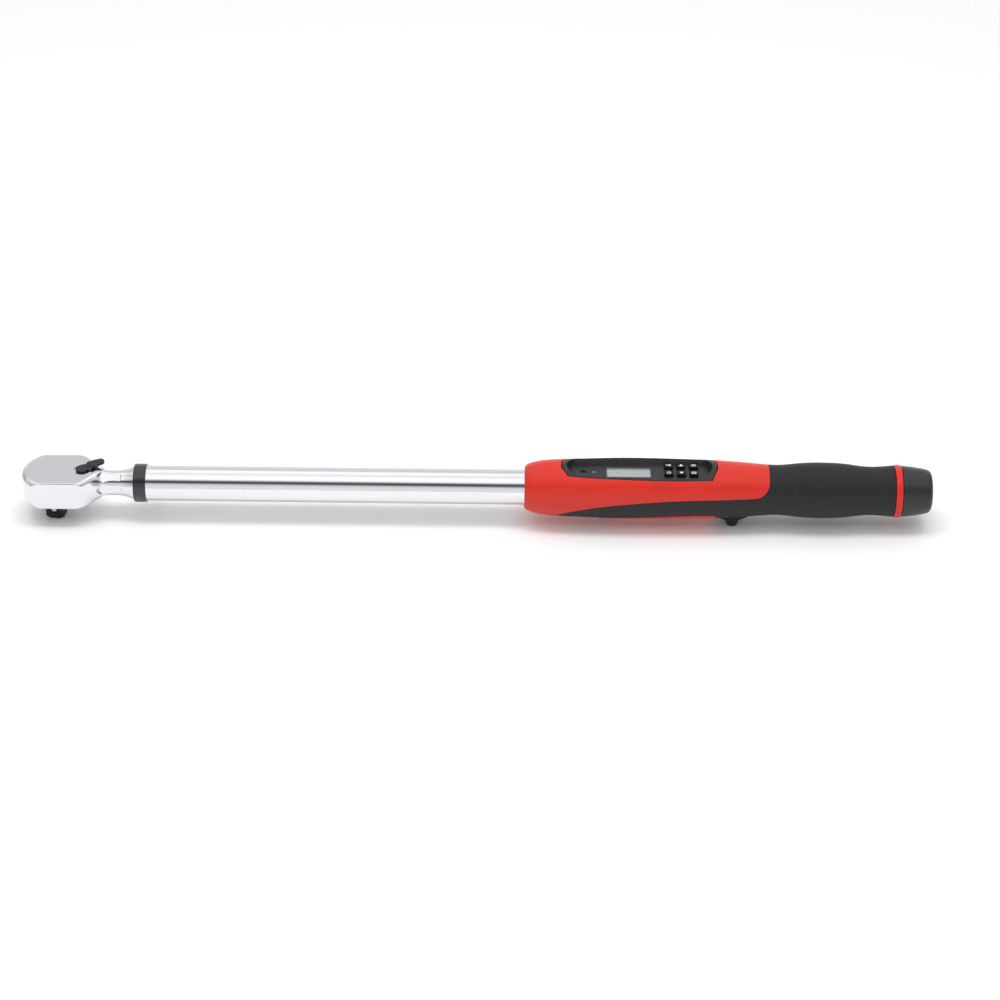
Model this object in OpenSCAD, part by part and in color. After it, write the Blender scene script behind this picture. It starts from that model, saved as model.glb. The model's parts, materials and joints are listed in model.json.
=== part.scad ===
// Electronic ratchet torque wrench with a half inch square drive.
// X runs from the drive axis to the butt, Z is up, sizes are in millimetres.
// The origin is the centre of the drive square's end face.

/* [Drive and head] */
// Side of the drive square
square_w = 12.7; // [12.7]
// Height of the tube's axis above the end of the square
axis_h = 27.3; // [27.1:0.1:27.5]
// Turn of the square about its own axis
square_turn = -8; // [-20:1:20]
// Radius of the head's round front
head_r = 22.5; // [22.3:0.1:23]
// Half the width between the head's side flats
flat_y = 19.4; // [19.2:0.1:19.6]
// Half the thickness of the head
head_h = 11.5; // [11.5]
// Number of ratchet teeth
teeth = 72; // [72]
// Tip radius of the ratchet teeth
tip_r = 11.7; // [11.7]
// Root radius of the ratchet teeth
root_r = 11.05; // [11.05]
// Distance across the neck's hexagon
neck_af = 17.4; // [17.2:0.1:17.6]
// Start and end of the hexagon's flats
neck_flats_x = [35, 48]; // [35, 48]

/* [Shaft] */
// Outer radius of the main tube
tube_r = 12.7; // [12.7]
// Bore radius of the main tube
tube_bore_r = 10.7; // [10.7]
// Where the collar starts
collar_x = 58; // [58]
// Length of the collar
collar_len = 9; // [8:0.5:10]
// Outer radius of the collar
collar_r = 13.8; // [13.4:0.1:14]

/* [Handle] */
// Front end of the red housing
housing_x = 336; // [336]
// Rear end of the red housing and start of the rubber grip
grip_x = 509.5; // [509.5]
// Rear end of the rubber grip
band_x = 599; // [599]
// Rear end of the red band
cap_x = 604; // [604]
// Rear end of the wrench
butt_x = 625.5; // [625:0.5:627]
// Wall of the housing shells
wall = 2.2; // [2.2]
// Thickness of the rubber wedges let into the shells
wedge_t = 1.2; // [1.2]

/* [Display and keys] */
// Height of the sunken panel above the tube's axis
panel_z = 13.6; // [13.6]
// Length and width of the display opening
lcd_size = [32, 13.2]; // [32, 13.2]
// Centre of the display opening
lcd_pos = [410, 0.9]; // [410, 0.9]
// Length and width of a key
key_size = [6.5, 4.9]; // [6.5, 4.9]
// Spacing of the keys along and across the wrench
key_pitch = [8.9, 9.2]; // [8.9, 9.2]
// Centre of the group of keys
key_centre = [447.3, 1.9]; // [447.3, 1.9]

/* [Hidden] */
$fn = 72;

run_gap = 0.05;
thin = 0.01;

// Heights inside the head, above the tube's axis
pocket_top = 4.8;
plate_top = -7;
plate_bottom = -10;
ring_bottom = -11;
plate_r = 16.35;
ring_groove_r = 17.05;
gear_journal_r = 7.5;
gear_hub_r = 9.4;
edge_r = 4;

// Pawl and lever
pawl_x = 14.1;
pawl_rock = 5;
trunnion_r = 1.5;
pawl_r = 15;
clip_r = 3.9;
lever_x = 21.1;
lever_rest = 30;
spindle_r = 3.2;
hub_r = 5.7;
tab_reach = 17.6;
plunger_r = 1.2;
plunger_tip = 6.9;
cam_steps = 12;

// Detent ball in the square
ball_r = 2.4;
ball_z = 7.2;
ball_out = 0.9;

// Shaft pieces
shank_end = 74;
tenon_x = 64;
tenon_r = 5;
blade_x = [82, 132];
blade_half = [7, 3.5];
beam_end = 140;
gauge_x = 103;
gauge_len = 9;
gauge_t = 0.3;
cable_r = 0.9;
cable_hole_r = 1.6;
tube_start = collar_x + 1;
tube_end = 361;
pin_x = collar_x + 4;
pin_r = 1.5;
pin_half = 12.4;

// Handle pieces
spine_top = -1;
spine_bottom = -9;
spine_y = 7;
spine_disc_x = 482;
split_z = -13.3;
screw_x = [392, 440];
screw_y = 4.6;
screw_r = 1.2;
screw_head_r = 2.4;
screw_boss_r = 3.4;
core_r = 15;
core_x = 489.5;
cell_r = 7.25;
cell_len = 50.5;
cell_x = 495;
cell_pip_r = 2.7;
thread_r = 12;
skirt_len = 13.5;
o_ring_x = cap_x - 2.8;
board_z = 4.9;
board_t = 1.6;
board_x = [366, 470];
board_y = [-9.6, 10.6];
board_screw_x = [369.5, 465.4];
board_screw_y = [-7, 8];
board_screw_r = 1.1;
cavity_x = [367.5, 467.6];
sounder_x = 377.7;
sounder_hole_r = 2.2;
led_x = 388.4;
led_hole_r = 0.8;
key_top = 15.9;
floor_t = 1.4;
bezel_bottom = 11;
bezel_mid = 418.1;
foot_x = [481.6, 488.6];
foot_half_y = 7.1;

// Outer outlines as [x, radius]
neck_knots = [
  [0, 19.4], [15, 19.4], [20.5, 19], [25.2, 17.3], [30.5, 13], [34.4, 10.7], [38.5, 9.5],
  [43.5, 9.15], [48.7, 9.4], [52.9, 10.2], [58, 12]
];
housing_knots = [
  [336, 14.4], [337, 15.9], [340, 17.4], [345, 18.8], [351, 19.7], [361, 20.4], [378, 20.9],
  [395, 21.5], [412, 21.8], [430, 21.7], [450, 21.3], [472, 20.8], [490, 19.7], [509.5, 18.1]
];
grip_knots = [
  [509.5, 18.1], [516.5, 17.9], [524.4, 18.5], [533.3, 19.4], [544.2, 19.9], [556.2, 19.7],
  [565.1, 19.1], [574, 17.9], [582, 17.3], [590, 17.6], [599, 18.4]
];
cap_knots = [[604, 18.3], [609.6, 17.8], [615.8, 17], [620.9, 16.1], [624, 15.1], [625.5, 13.4]];

// Edges of the rubber wedge as [x, z], seen from the side
wedge_top_knots = [
  [359, -12.9], [366, -9.2], [374, -6.2], [388, -2.6], [404, 0.2], [425, 2.4], [447, 3.8],
  [475, 4.4], [498.5, 4.7], [504, 6], [508, 9.6], [509.5, 14]
];
wedge_low_knots = [
  [472.5, -22], [472.2, -16.5], [469, -14.1], [451, -13.8], [432, -14.1], [415, -15.5],
  [400, -17.5], [385, -18.5], [372, -18], [364, -15.8]
];
// Half the outline of the display bezel, seen from above
bezel_knots = [[366.5, 11], [390, 13.1], [420, 14.2], [445, 14.1], [468.9, 13.2]];
bezel_ends = [361.8, 472.9];
bezel_corner_y = 4;

function knot(k, i) = k[max(0, min(len(k) - 1, i))];
function blend(a, b, c, d, t) =
  0.5 * (2 * b + (c - a) * t + (2 * a - 5 * b + 4 * c - d) * t * t + (3 * b - 3 * c + d - a) * t * t * t);
// Smooth curve through the knots, with n points for each stretch
function curve(k, n) = concat(
  [for (i = [0:len(k) - 2]) for (s = [0:n - 1])
    blend(knot(k, i - 1), k[i], k[i + 1], knot(k, i + 2), s / n)],
  [k[len(k) - 1]]
);
function shrink(p, d) = [for (q = p) [q[0], q[1] - d]];
function closed(p) = concat([[p[0][0], 0]], p, [[p[len(p) - 1][0], 0]]);

housing_line = curve(housing_knots, 2);
grip_line = curve(grip_knots, 2);

// Solid of revolution about the tube's axis from an outline of [x, radius] points
module turned(line) {
  rotate([0, 90, 0])
    rotate_extrude()
      polygon([for (p = line) [p[1], p[0]]]);
}

// Round bar along X between two stations
module bar(x0, x1, r) {
  translate([x0, 0, 0])
    rotate([0, 90, 0])
      cylinder(h = x1 - x0, r = r);
}

module disc(z0, z1, r) {
  translate([0, 0, z0])
    cylinder(h = z1 - z0, r = r);
}

module block(lo, hi) {
  translate(lo)
    cube(hi - lo);
}

// Places a shape drawn about the tube's axis
module on_axis() {
  translate([0, 0, axis_h])
    children();
}

// Side-view outline pushed through the handle
module side_prism(points) {
  rotate([90, 0, 0])
    linear_extrude(60, center = true)
      polygon(points);
}

// Wire or cable swept along a path; ref is never parallel to the path
function unit(v) = v / norm(v);
function heading(p, i) = unit(p[min(i + 1, len(p) - 1)] - p[max(i - 1, 0)]);
function ring(c, t, ref, r, n) =
  let (u = unit(cross(t, ref)), w = cross(t, u))
  [for (k = [0:n - 1]) c + r * (cos(360 * k / n) * u + sin(360 * k / n) * w)];

module swept(path, r, ref, n = 8) {
  rings = len(path);
  points = [for (i = [0:rings - 1]) each ring(path[i], heading(path, i), ref, r, n)];
  sides = [for (i = [0:rings - 2]) for (k = [0:n - 1])
    [i * n + k, (i + 1) * n + k, (i + 1) * n + (k + 1) % n, i * n + (k + 1) % n]];
  first = [for (k = [0:n - 1]) k];
  last = [for (k = [n - 1:-1:0]) (rings - 1) * n + k];
  polyhedron(points, concat(sides, [first], [last]), convexity = 4);
}

// Points of a coil along X, tapering from r0 to r1
function coil(x0, x1, r0, r1, turns, per_turn) = [
  for (i = [0:turns * per_turn])
    let (t = i / (turns * per_turn), r = r0 + (r1 - r0) * t, a = 360 * turns * t)
    [x0 + (x1 - x0) * t, r * cos(a), r * sin(a)]
];

// ---- Ratchet head ----

module gear_outline(grow) {
  polygon([for (i = [0:2 * teeth - 1])
    let (a = 180 * i / teeth, r = (i % 2 == 0 ? tip_r : root_r) + grow)
    [r * cos(a), r * sin(a)]]);
}

module neck_flats() {
  for (a = [0:60:300])
    rotate([a, 0, 0])
      block([neck_flats_x[0], neck_af / 2, -8], [neck_flats_x[1], 20, 8]);
}

module head_blank() {
  corner = [head_r - edge_r, head_h - edge_r];
  low_edge = [for (a = [-90:10:0]) [corner[0] + edge_r * cos(a), -corner[1] + edge_r * sin(a)]];
  high_edge = [for (a = [0:10:90]) [corner[0] + edge_r * cos(a), corner[1] + edge_r * sin(a)]];
  intersection() {
    rotate_extrude()
      polygon(concat([[0, -head_h]], low_edge, high_edge, [[0, head_h]]));
    block([-30, -flat_y, -15], [30, flat_y, 15]);
  }
  intersection() {
    turned(closed(curve(neck_knots, 2)));
    block([0, -30, -head_h], [collar_x, 30, head_h]);
  }
}

module ratchet_head() {
  color([0.8, 0.81, 0.83])
    on_axis()
      difference() {
        union() {
          head_blank();
          bar(collar_x, shank_end, tube_bore_r);
        }
        neck_flats();
        disc(-12, plate_top, plate_r + run_gap);
        disc(ring_bottom - 0.05, plate_bottom + 0.02, ring_groove_r);
        disc(plate_top - 1, pocket_top, tip_r + 0.4);
        disc(pocket_top - 1, 8.6, gear_journal_r + run_gap);
        pawl_pocket();
        lever_bores();
        bar(tenon_x, shank_end + 6, tenon_r);
        translate([pin_x, 0, -15])
          cylinder(h = 30, r = pin_r);
      }
}

module pawl_pocket() {
  intersection() {
    disc(plate_top - 1, pocket_top, plate_r);
    block([5, -12.2, -10], [20, 12.2, 10]);
  }
  translate([pawl_x, 0, 0])
    disc(pocket_top - 1, pocket_top + 2, trunnion_r + run_gap);
}

module lever_bores() {
  translate([lever_x, 0, 0]) {
    disc(-15, 15, spindle_r + run_gap);
    disc(9.5, 15, hub_r + 0.4);
    disc(-15, -9, clip_r + 0.1);
  }
  block([15.6, -4.6, -1.6], [19, 4.6, 1.6]);
}

module drive_gear() {
  color([0.16, 0.16, 0.17])
    difference() {
      union() {
        translate([0, 0, axis_h - 6.8])
          linear_extrude(11.5)
            gear_outline(0);
        on_axis()
          disc(pocket_top - 0.2, 8.4, gear_journal_r);
        on_axis()
          disc(-11.5, -6.7, gear_hub_r);
        square_bar();
      }
      rotate([0, 0, square_turn])
        detent_hole();
    }
}

module square_bar() {
  half = square_w / 2;
  intersection() {
    rotate([0, 0, square_turn])
      block([-half, -half, 0], [half, half, axis_h - 11]);
    rotate_extrude()
      polygon([[0, 0], [7, 0], [8.5, 1.5], [8.5, 17], [0, 17]]);
  }
}

module detent_hole() {
  translate([0, 3.5, ball_z])
    rotate([90, 0, 0])
      cylinder(h = 12, r = ball_r + run_gap);
}

module detent_ball() {
  color([0.75, 0.75, 0.78])
    rotate([0, 0, square_turn])
      translate([0, -(square_w / 2 + ball_out - ball_r), ball_z])
        sphere(r = ball_r);
}

module detent_spring() {
  color([0.6, 0.6, 0.62])
    rotate([0, 0, square_turn - 90])
      translate([0, 0, ball_z])
        swept(coil(-3.1, 2.3, 1.7, 1.7, 4, 12), 0.28, [1, 0, 0], 6);
}

// The pawl with its two toes free of the gear, before it rocks to one side
module pawl_blank() {
  difference() {
    union() {
      intersection() {
        disc(-6.6, 4.6, pawl_r);
        block([7, -10.6, -7], [17, 10.6, 7]);
      }
      intersection() {
        disc(-6.6, 4.6, pawl_r + 0.5);
        block([12, -4.6, -7], [17, 4.6, 7]);
      }
      translate([pawl_x, 0, 0])
        disc(plate_top - 2, pocket_top + 1.8, trunnion_r);
    }
    disc(-6.7, 4.7, 12.4);
    for (side = [-1, 1])
      about_pawl(side * pawl_rock)
        translate([0, 0, -8])
          linear_extrude(14)
            gear_outline(0.05);
    cam_sweep();
  }
}

module about_pawl(angle) {
  translate([pawl_x, 0, 0])
    rotate([0, 0, angle])
      translate([-pawl_x, 0, 0])
        children();
}

// Room for the plunger's nose at each turn of the lever
module cam_sweep() {
  for (i = [0:cam_steps]) {
    turn = lever_rest - 2 * lever_rest * i / cam_steps;
    about_pawl(pawl_rock - 2 * pawl_rock * i / cam_steps)
      translate([lever_x, 0, 0])
        rotate([0, 0, turn])
          translate([-plunger_tip - 0.1, -plunger_r - 0.1, -plunger_r - 0.1])
            cube([6, 2 * plunger_r + 0.2, 2 * plunger_r + 0.2]);
  }
}

module pawl() {
  color([0.3, 0.3, 0.32])
    on_axis()
      about_pawl(-pawl_rock)
        pawl_blank();
}

module cover_plate() {
  color([0.55, 0.55, 0.57])
    on_axis()
      difference() {
        disc(plate_bottom, plate_top, plate_r);
        disc(-12, -5, gear_hub_r + run_gap);
        translate([pawl_x, 0, 0])
          disc(plate_top - 2.2, plate_top + 1, trunnion_r + run_gap);
      }
}

module snap_ring() {
  color([0.2, 0.2, 0.21])
    on_axis()
      difference() {
        disc(ring_bottom, plate_bottom, ring_groove_r - 0.05);
        disc(-12, -9, 14.8);
        block([-20, -2.6, -12], [-10, 2.6, -9]);
      }
}

// Everything on the lever is drawn pointing along +X, then turned to its rest
module on_lever() {
  on_axis()
    translate([lever_x, 0, 0])
      rotate([0, 0, lever_rest])
        children();
}

module reverse_lever() {
  color([0.13, 0.13, 0.14])
    on_lever()
      difference() {
        union() {
          disc(-11.4, 10, spindle_r);
          disc(9.6, 12.3, hub_r);
          lever_tab();
        }
        translate([-4.2, 0, 0])
          bar(0, 6, plunger_r + run_gap);
        difference() {
          disc(-10.6, -9.8, spindle_r + 1);
          disc(-11, -9, spindle_r - 0.7);
        }
      }
}

module lever_tab() {
  hull() {
    translate([3, 0, 0])
      disc(11.7, 14.2, 4.4, $fn = 32);
    translate([tab_reach - 3, 0, 0])
      disc(11.7, 14.9, 3, $fn = 32);
  }
  for (x = [8.4:1.9:16])
    block([x, -2.4, 14], [x + 0.9, 2.4, 15.3]);
}

module lever_plunger() {
  color([0.7, 0.7, 0.72])
    on_lever() {
      bar(-plunger_tip + plunger_r, -1.9, plunger_r);
      translate([-plunger_tip + plunger_r, 0, 0])
        sphere(r = plunger_r);
    }
}

module plunger_spring() {
  color([0.6, 0.6, 0.62])
    on_lever()
      swept(coil(-1.7, 1.6, 0.85, 0.85, 4, 10), 0.18, [1, 0, 0], 6);
}

module lever_clip() {
  color([0.35, 0.35, 0.36])
    on_lever()
      difference() {
        disc(-10.55, -9.85, clip_r);
        disc(-12, -9, spindle_r - 0.68);
        block([-7, -1.4, -12], [0, 1.4, -9]);
      }
}

// ---- Shaft ----

module front_collar() {
  color([0.05, 0.05, 0.055])
    on_axis()
      difference() {
        turned([
          [collar_x, 0], [collar_x, collar_r - 0.8], [collar_x + 0.8, collar_r],
          [collar_x + collar_len - 0.8, collar_r], [collar_x + collar_len, collar_r - 0.8],
          [collar_x + collar_len, 0]
        ]);
        bar(collar_x - 1, tube_start, tube_bore_r);
        bar(tube_start, collar_x + collar_len + 1, tube_r);
      }
}

module main_tube() {
  color([0.82, 0.83, 0.85])
    on_axis()
      difference() {
        bar(tube_start, tube_end, tube_r);
        bar(tube_start - 1, tube_end + 1, tube_bore_r);
        translate([pin_x, 0, -15])
          cylinder(h = 30, r = pin_r);
      }
}

module shank_pin() {
  color([0.5, 0.5, 0.52])
    on_axis()
      translate([pin_x, 0, -pin_half])
        cylinder(h = 2 * pin_half, r = pin_r);
}

module measuring_beam() {
  color([0.6, 0.61, 0.63])
    on_axis()
      difference() {
        union() {
          bar(tenon_x, shank_end, tenon_r);
          bar(shank_end, blade_x[0], tube_bore_r);
          block([blade_x[0], -blade_half[0], -blade_half[1]], [blade_x[1], blade_half[0], blade_half[1]]);
          bar(blade_x[1], beam_end, tube_bore_r);
        }
        translate([blade_x[1] - 2, 0, 7.5])
          rotate([0, 90, 0])
            cylinder(h = 12, r = cable_hole_r);
        translate([pin_x, 0, -15])
          cylinder(h = 30, r = pin_r);
      }
}

module strain_gauges() {
  color([0.75, 0.5, 0.2])
    on_axis()
      for (side = [-1, 1]) {
        translate([gauge_x, -2.5, side * (blade_half[1] + gauge_t / 2) - gauge_t / 2])
          cube([gauge_len, 5, gauge_t]);
        translate([gauge_x, side * (blade_half[0] + gauge_t / 2) - gauge_t / 2, -2])
          cube([gauge_len, gauge_t, 4]);
      }
}

cable_knots = [
  [113, 0, 5], [122, 0, 6.4], [132, 0, 7.5], [140, 0, 7.5], [180, 0, 4], [240, 0, 2],
  [300, 0, 4], [326, 0, 6.5], [345, 0, 6.5], [362, 0, 6.5], [366, 0, 8], [370, 0, 9.2]
];

module gauge_cable() {
  color([0.1, 0.1, 0.1])
    on_axis()
      swept(curve(cable_knots, 3), cable_r, [0, 1, 0]);
}

// ---- Handle ----

module handle_spine() {
  color([0.5, 0.51, 0.53])
    on_axis()
      difference() {
        union() {
          bar(330, tube_end, tube_bore_r);
          block([tube_end, -spine_y, spine_bottom], [spine_disc_x, spine_y, spine_top]);
          bar(spine_disc_x, core_x, 14);
        }
        translate([328, 0, 6.5])
          rotate([0, 90, 0])
            cylinder(h = 36, r = cable_hole_r);
        housing_screw_places()
          cylinder(h = 8, r = screw_r);
      }
}

// Tips of the four screws' threads, inside the spine
module housing_screw_places() {
  for (x = screw_x)
    for (y = [-screw_y, screw_y])
      translate([x, y, spine_bottom - 1])
        children();
}

module housing_solid() {
  turned(closed(housing_line));
}

module housing_shell() {
  difference() {
    housing_solid();
    turned(concat([[339.5, 0]], [for (p = housing_line) if (p[0] > 339 && p[0] < grip_x) [p[0], p[1] - wall]],
      [[grip_x + 0.5, 15.9], [grip_x + 0.5, 0]]));
    bar(housing_x - 1, 345, tube_r);
  }
}

module wedge_zone() {
  side_prism(concat(curve(wedge_top_knots, 2), [[grip_x, 24], [530, 24], [530, -30], [472.5, -30]],
    curve(wedge_low_knots, 2)));
}

module wedge_skin() {
  intersection() {
    difference() {
      housing_solid();
      turned(closed(shrink(housing_line, wedge_t)));
    }
    wedge_zone();
  }
}

module bezel_outline() {
  side = curve(bezel_knots, 4);
  translate([-bezel_mid, 0])
    polygon(concat(
      [for (p = side) [p[0], -p[1]]],
      [[bezel_ends[1], -bezel_corner_y], [bezel_ends[1], bezel_corner_y]],
      [for (i = [len(side) - 1:-1:0]) side[i]],
      [[bezel_ends[0], bezel_corner_y], [bezel_ends[0], -bezel_corner_y]]
    ));
}

module foot_stem(grow) {
  translate([(foot_x[0] + foot_x[1]) / 2, 0, -22])
    cylinder(h = 6, r = 2.5 + grow);
}

module upper_housing() {
  color([0.86, 0.16, 0.11])
    on_axis()
      difference() {
        housing_shell();
        wedge_skin();
        block([330, -30, -30], [520, 30, split_z]);
        translate([bezel_mid, 0, 9])
          linear_extrude(20)
            bezel_outline();
      }
}

module lower_housing() {
  color([0.86, 0.16, 0.11])
    on_axis()
      difference() {
        union() {
          intersection() {
            housing_shell();
            block([330, -30, -30], [520, 30, split_z]);
          }
          intersection() {
            housing_screw_places()
              translate([0, 0, -12])
                cylinder(h = 13, r = screw_boss_r);
            housing_solid();
          }
        }
        wedge_skin();
        housing_screw_places() {
          cylinder(h = 20, r = screw_r + run_gap, center = true);
          translate([0, 0, -14])
            cylinder(h = 8, r = screw_head_r + 0.2);
        }
        foot_stem(0);
      }
}

module housing_screws() {
  color([0.2, 0.2, 0.21])
    on_axis()
      housing_screw_places() {
        translate([0, 0, -6])
          cylinder(h = 12, r = screw_r);
        difference() {
          translate([0, 0, -8])
            cylinder(h = 2, r = screw_head_r);
          translate([0, 0, -9])
            cylinder(h = 2, r = 1.1, $fn = 6);
        }
      }
}

// Sloping recess above the panel
module bezel_recess() {
  hull() {
    translate([0, 0, panel_z])
      linear_extrude(thin)
        scale([0.899, 0.796])
          bezel_outline();
    translate([0, 0, 21.9])
      linear_extrude(thin)
        scale([0.985, 1.05])
          bezel_outline();
  }
}

module display_bezel() {
  color([0.06, 0.06, 0.065])
    on_axis()
      difference() {
        intersection() {
          translate([bezel_mid, 0, bezel_bottom])
            linear_extrude(11)
              bezel_outline();
          housing_solid();
        }
        translate([bezel_mid, 0, 0])
          bezel_recess();
        block([cavity_x[0], -10.2, bezel_bottom - 1], [cavity_x[1], 10.9, panel_z - floor_t]);
        lcd_hole(panel_z - floor_t - 1, panel_z + 1);
        key_places()
          key_block(panel_z - floor_t - 1, panel_z + 1, 0.1);
        translate([sounder_x, 0, 0])
          disc(10, 15, sounder_hole_r);
        translate([led_x, 0, 0])
          disc(10, 15, led_hole_r);
      }
}

module lcd_hole(z0, z1, gap = 0) {
  half = lcd_size / 2 - [gap, gap];
  block([lcd_pos[0] - half[0], lcd_pos[1] - half[1], z0], [lcd_pos[0] + half[0], lcd_pos[1] + half[1], z1]);
}

module lcd_window() {
  color([0.75, 0.82, 0.85, 0.4])
    on_axis()
      lcd_hole(panel_z - 1.4, panel_z - 0.6, 0);
}

module lcd_panel() {
  color([0.78, 0.83, 0.86])
    on_axis()
      block([lcd_pos[0] - 19, lcd_pos[1] - 8.6, 10.2], [lcd_pos[0] + 19, lcd_pos[1] + 8.6, 11.9]);
}

module lcd_holder() {
  color([0.9, 0.9, 0.88])
    on_axis()
      difference() {
        block([lcd_pos[0] - 19.5, lcd_pos[1] - 9, board_z + board_t], [lcd_pos[0] + 19.5, lcd_pos[1] + 9, 11]);
        block([lcd_pos[0] - 19, lcd_pos[1] - 8.6, 10.2], [lcd_pos[0] + 19, lcd_pos[1] + 8.6, 12]);
      }
}

module board_screw_places() {
  for (x = board_screw_x)
    for (y = board_screw_y)
      translate([x, y, 0])
        children();
}

module main_board() {
  color([0.08, 0.36, 0.18])
    on_axis()
      difference() {
        block([board_x[0], board_y[0], board_z], [board_x[1], board_y[1], board_z + board_t]);
        board_screw_places()
          disc(0, 10, board_screw_r);
      }
}

// Screw with a post that reaches from the board to the panel's underside
module board_screws() {
  color([0.7, 0.65, 0.45])
    on_axis()
      board_screw_places() {
        disc(3.4, board_z, 2);
        disc(board_z, board_z + board_t, board_screw_r);
        disc(board_z + board_t, panel_z - floor_t, 1.6);
      }
}

module main_chip() {
  color([0.1, 0.1, 0.1])
    on_axis()
      block([406, -5, board_z - 1.2], [416, 5, board_z]);
}

module cable_socket() {
  color([0.9, 0.9, 0.85])
    on_axis()
      difference() {
        block([369, -2.4, board_z + board_t], [372.6, 2.4, 11.2]);
        block([368, -1.1, 7.5], [371, 1.1, 10.4]);
      }
}

// Children are placed at each key in turn: rows front then rear
module key_places() {
  for (col = [-1:1])
    for (row = [-1, 1])
      key_at(col, row)
        children();
}

module key_at(col, row) {
  translate([key_centre[0] + col * key_pitch[0], key_centre[1] + row * key_pitch[1] / 2, 0])
    children();
}

module key_block(z0, z1, grow) {
  half = key_size / 2 + [grow, grow];
  radius = 1 + grow;
  core = half - [radius, radius];
  block([-half[0], -core[1], z0], [half[0], core[1], z1]);
  block([-core[0], -half[1], z0], [core[0], half[1], z1]);
  for (sx = [-1, 1])
    for (sy = [-1, 1])
      translate([sx * core[0], sy * core[1], 0])
        disc(z0, z1, radius);
}

module key_switches() {
  color([0.12, 0.12, 0.12])
    on_axis()
      key_places() {
        block([-2.2, -2.2, board_z + board_t], [2.2, 2.2, 8.4]);
        disc(8.4, 8.7, 1.2);
      }
}

module key(col, row) {
  color([0.05, 0.05, 0.05])
    on_axis()
      key_at(col, row) {
        key_block(11, key_top, 0);
        block([-3.8, -3, 11], [3.8, 3, 12.1]);
        disc(9.6, 11, 1.4);
      }
}

module key_power() {
  key(-1, -1);
}

module key_units() {
  key(-1, 1);
}

module key_down() {
  key(0, -1);
}

module key_up() {
  key(0, 1);
}

module key_memory() {
  key(1, -1);
}

module key_set() {
  key(1, 1);
}

module buzzer() {
  color([0.1, 0.1, 0.1])
    on_axis()
      translate([sounder_x + 1, 0, 0])
        difference() {
          disc(board_z + board_t, 10.6, 5);
          disc(10, 11, 1);
        }
}

module indicator_led() {
  color([0.9, 0.5, 0.4, 0.8])
    on_axis()
      translate([led_x, 0, 0]) {
        disc(board_z + board_t, 8, 1.4);
        disc(8, panel_z - 0.2, led_hole_r - run_gap);
      }
}

module grip_overmould() {
  color([0.07, 0.07, 0.075])
    on_axis() {
      difference() {
        wedge_skin();
        foot_stem(0);
      }
      difference() {
        turned(closed(grip_line));
        bar(grip_x - 1, band_x + 1, core_r);
      }
    }
}

module rest_foot() {
  color([0.07, 0.07, 0.075])
    on_axis() {
      difference() {
        union() {
          hull() {
            foot_pad(foot_x[0] - 8, foot_x[1] + 6, 8.3, -19);
            foot_pad(foot_x[0] - 1.6, foot_x[1] + 1.4, 7.7, -22.6);
          }
          hull() {
            foot_pad(foot_x[0] - 1.6, foot_x[1] + 1.4, 7.7, -22.6);
            foot_pad(foot_x[0], foot_x[1], foot_half_y, -axis_h);
          }
        }
        housing_solid();
      }
      difference() {
        foot_stem(0);
        turned(closed(shrink(housing_line, wall)));
      }
    }
}

module foot_pad(x0, x1, half_y, z) {
  radius = 2;
  for (x = [x0 + radius, x1 - radius])
    for (y = [-half_y + radius, half_y - radius])
      translate([x, y, z])
        cylinder(h = thin, r = radius, $fn = 24);
}

module grip_core() {
  color([0.2, 0.2, 0.2])
    on_axis()
      difference() {
        bar(core_x, cap_x, core_r);
        bar(cell_x - 1, cap_x + 1, cell_r + 0.25);
        bar(cap_x - skirt_len - 1, cap_x + 1, thread_r);
      }
}

module battery_front() {
  color([0.55, 0.57, 0.6])
    on_axis() {
      bar(cell_x + 1, cell_x + cell_len, cell_r);
      bar(cell_x, cell_x + 1, cell_pip_r);
    }
}

module battery_rear() {
  color([0.55, 0.57, 0.6])
    on_axis() {
      bar(cell_x + cell_len + 1, cell_x + 2 * cell_len, cell_r);
      bar(cell_x + cell_len, cell_x + cell_len + 1, cell_pip_r);
    }
}

module front_contact() {
  color([0.8, 0.7, 0.35])
    on_axis()
      bar(cell_x - 1, cell_x, 6);
}

module accent_ring() {
  color([0.86, 0.16, 0.11])
    on_axis()
      difference() {
        turned([
          [band_x, 0], [band_x, 18.4], [band_x + 0.6, 18.9], [cap_x - 0.6, 18.9], [cap_x, 18.4], [cap_x, 0]
        ]);
        bar(band_x - 1, cap_x + 1, core_r);
      }
}

module end_cap() {
  color([0.07, 0.07, 0.075])
    on_axis()
      difference() {
        union() {
          turned(closed(concat(curve(cap_knots, 3), [[butt_x, 13]])));
          bar(cap_x - skirt_len, cap_x + 1, thread_r - run_gap);
        }
        bar(cap_x - skirt_len - 1, cap_x - 2, 10);
        difference() {
          bar(o_ring_x - 0.5, o_ring_x + 0.5, thread_r + 1);
          bar(o_ring_x - 1, o_ring_x + 1, 11.15);
        }
      }
}

module cap_contact() {
  color([0.8, 0.7, 0.35])
    on_axis()
      bar(cap_x - 2.9, cap_x - 2.1, 9.6);
}

module battery_spring() {
  color([0.75, 0.76, 0.78])
    on_axis()
      swept(coil(cap_x - 7.5, cap_x - 3.3, 3, 7.5, 3, 16), 0.35, [1, 0, 0], 6);
}

module cap_o_ring() {
  color([0.02, 0.02, 0.02])
    on_axis()
      translate([o_ring_x, 0, 0])
        rotate([0, 90, 0])
          rotate_extrude()
            translate([11.57, 0])
              circle(r = 0.38, $fn = 24);
}

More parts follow.
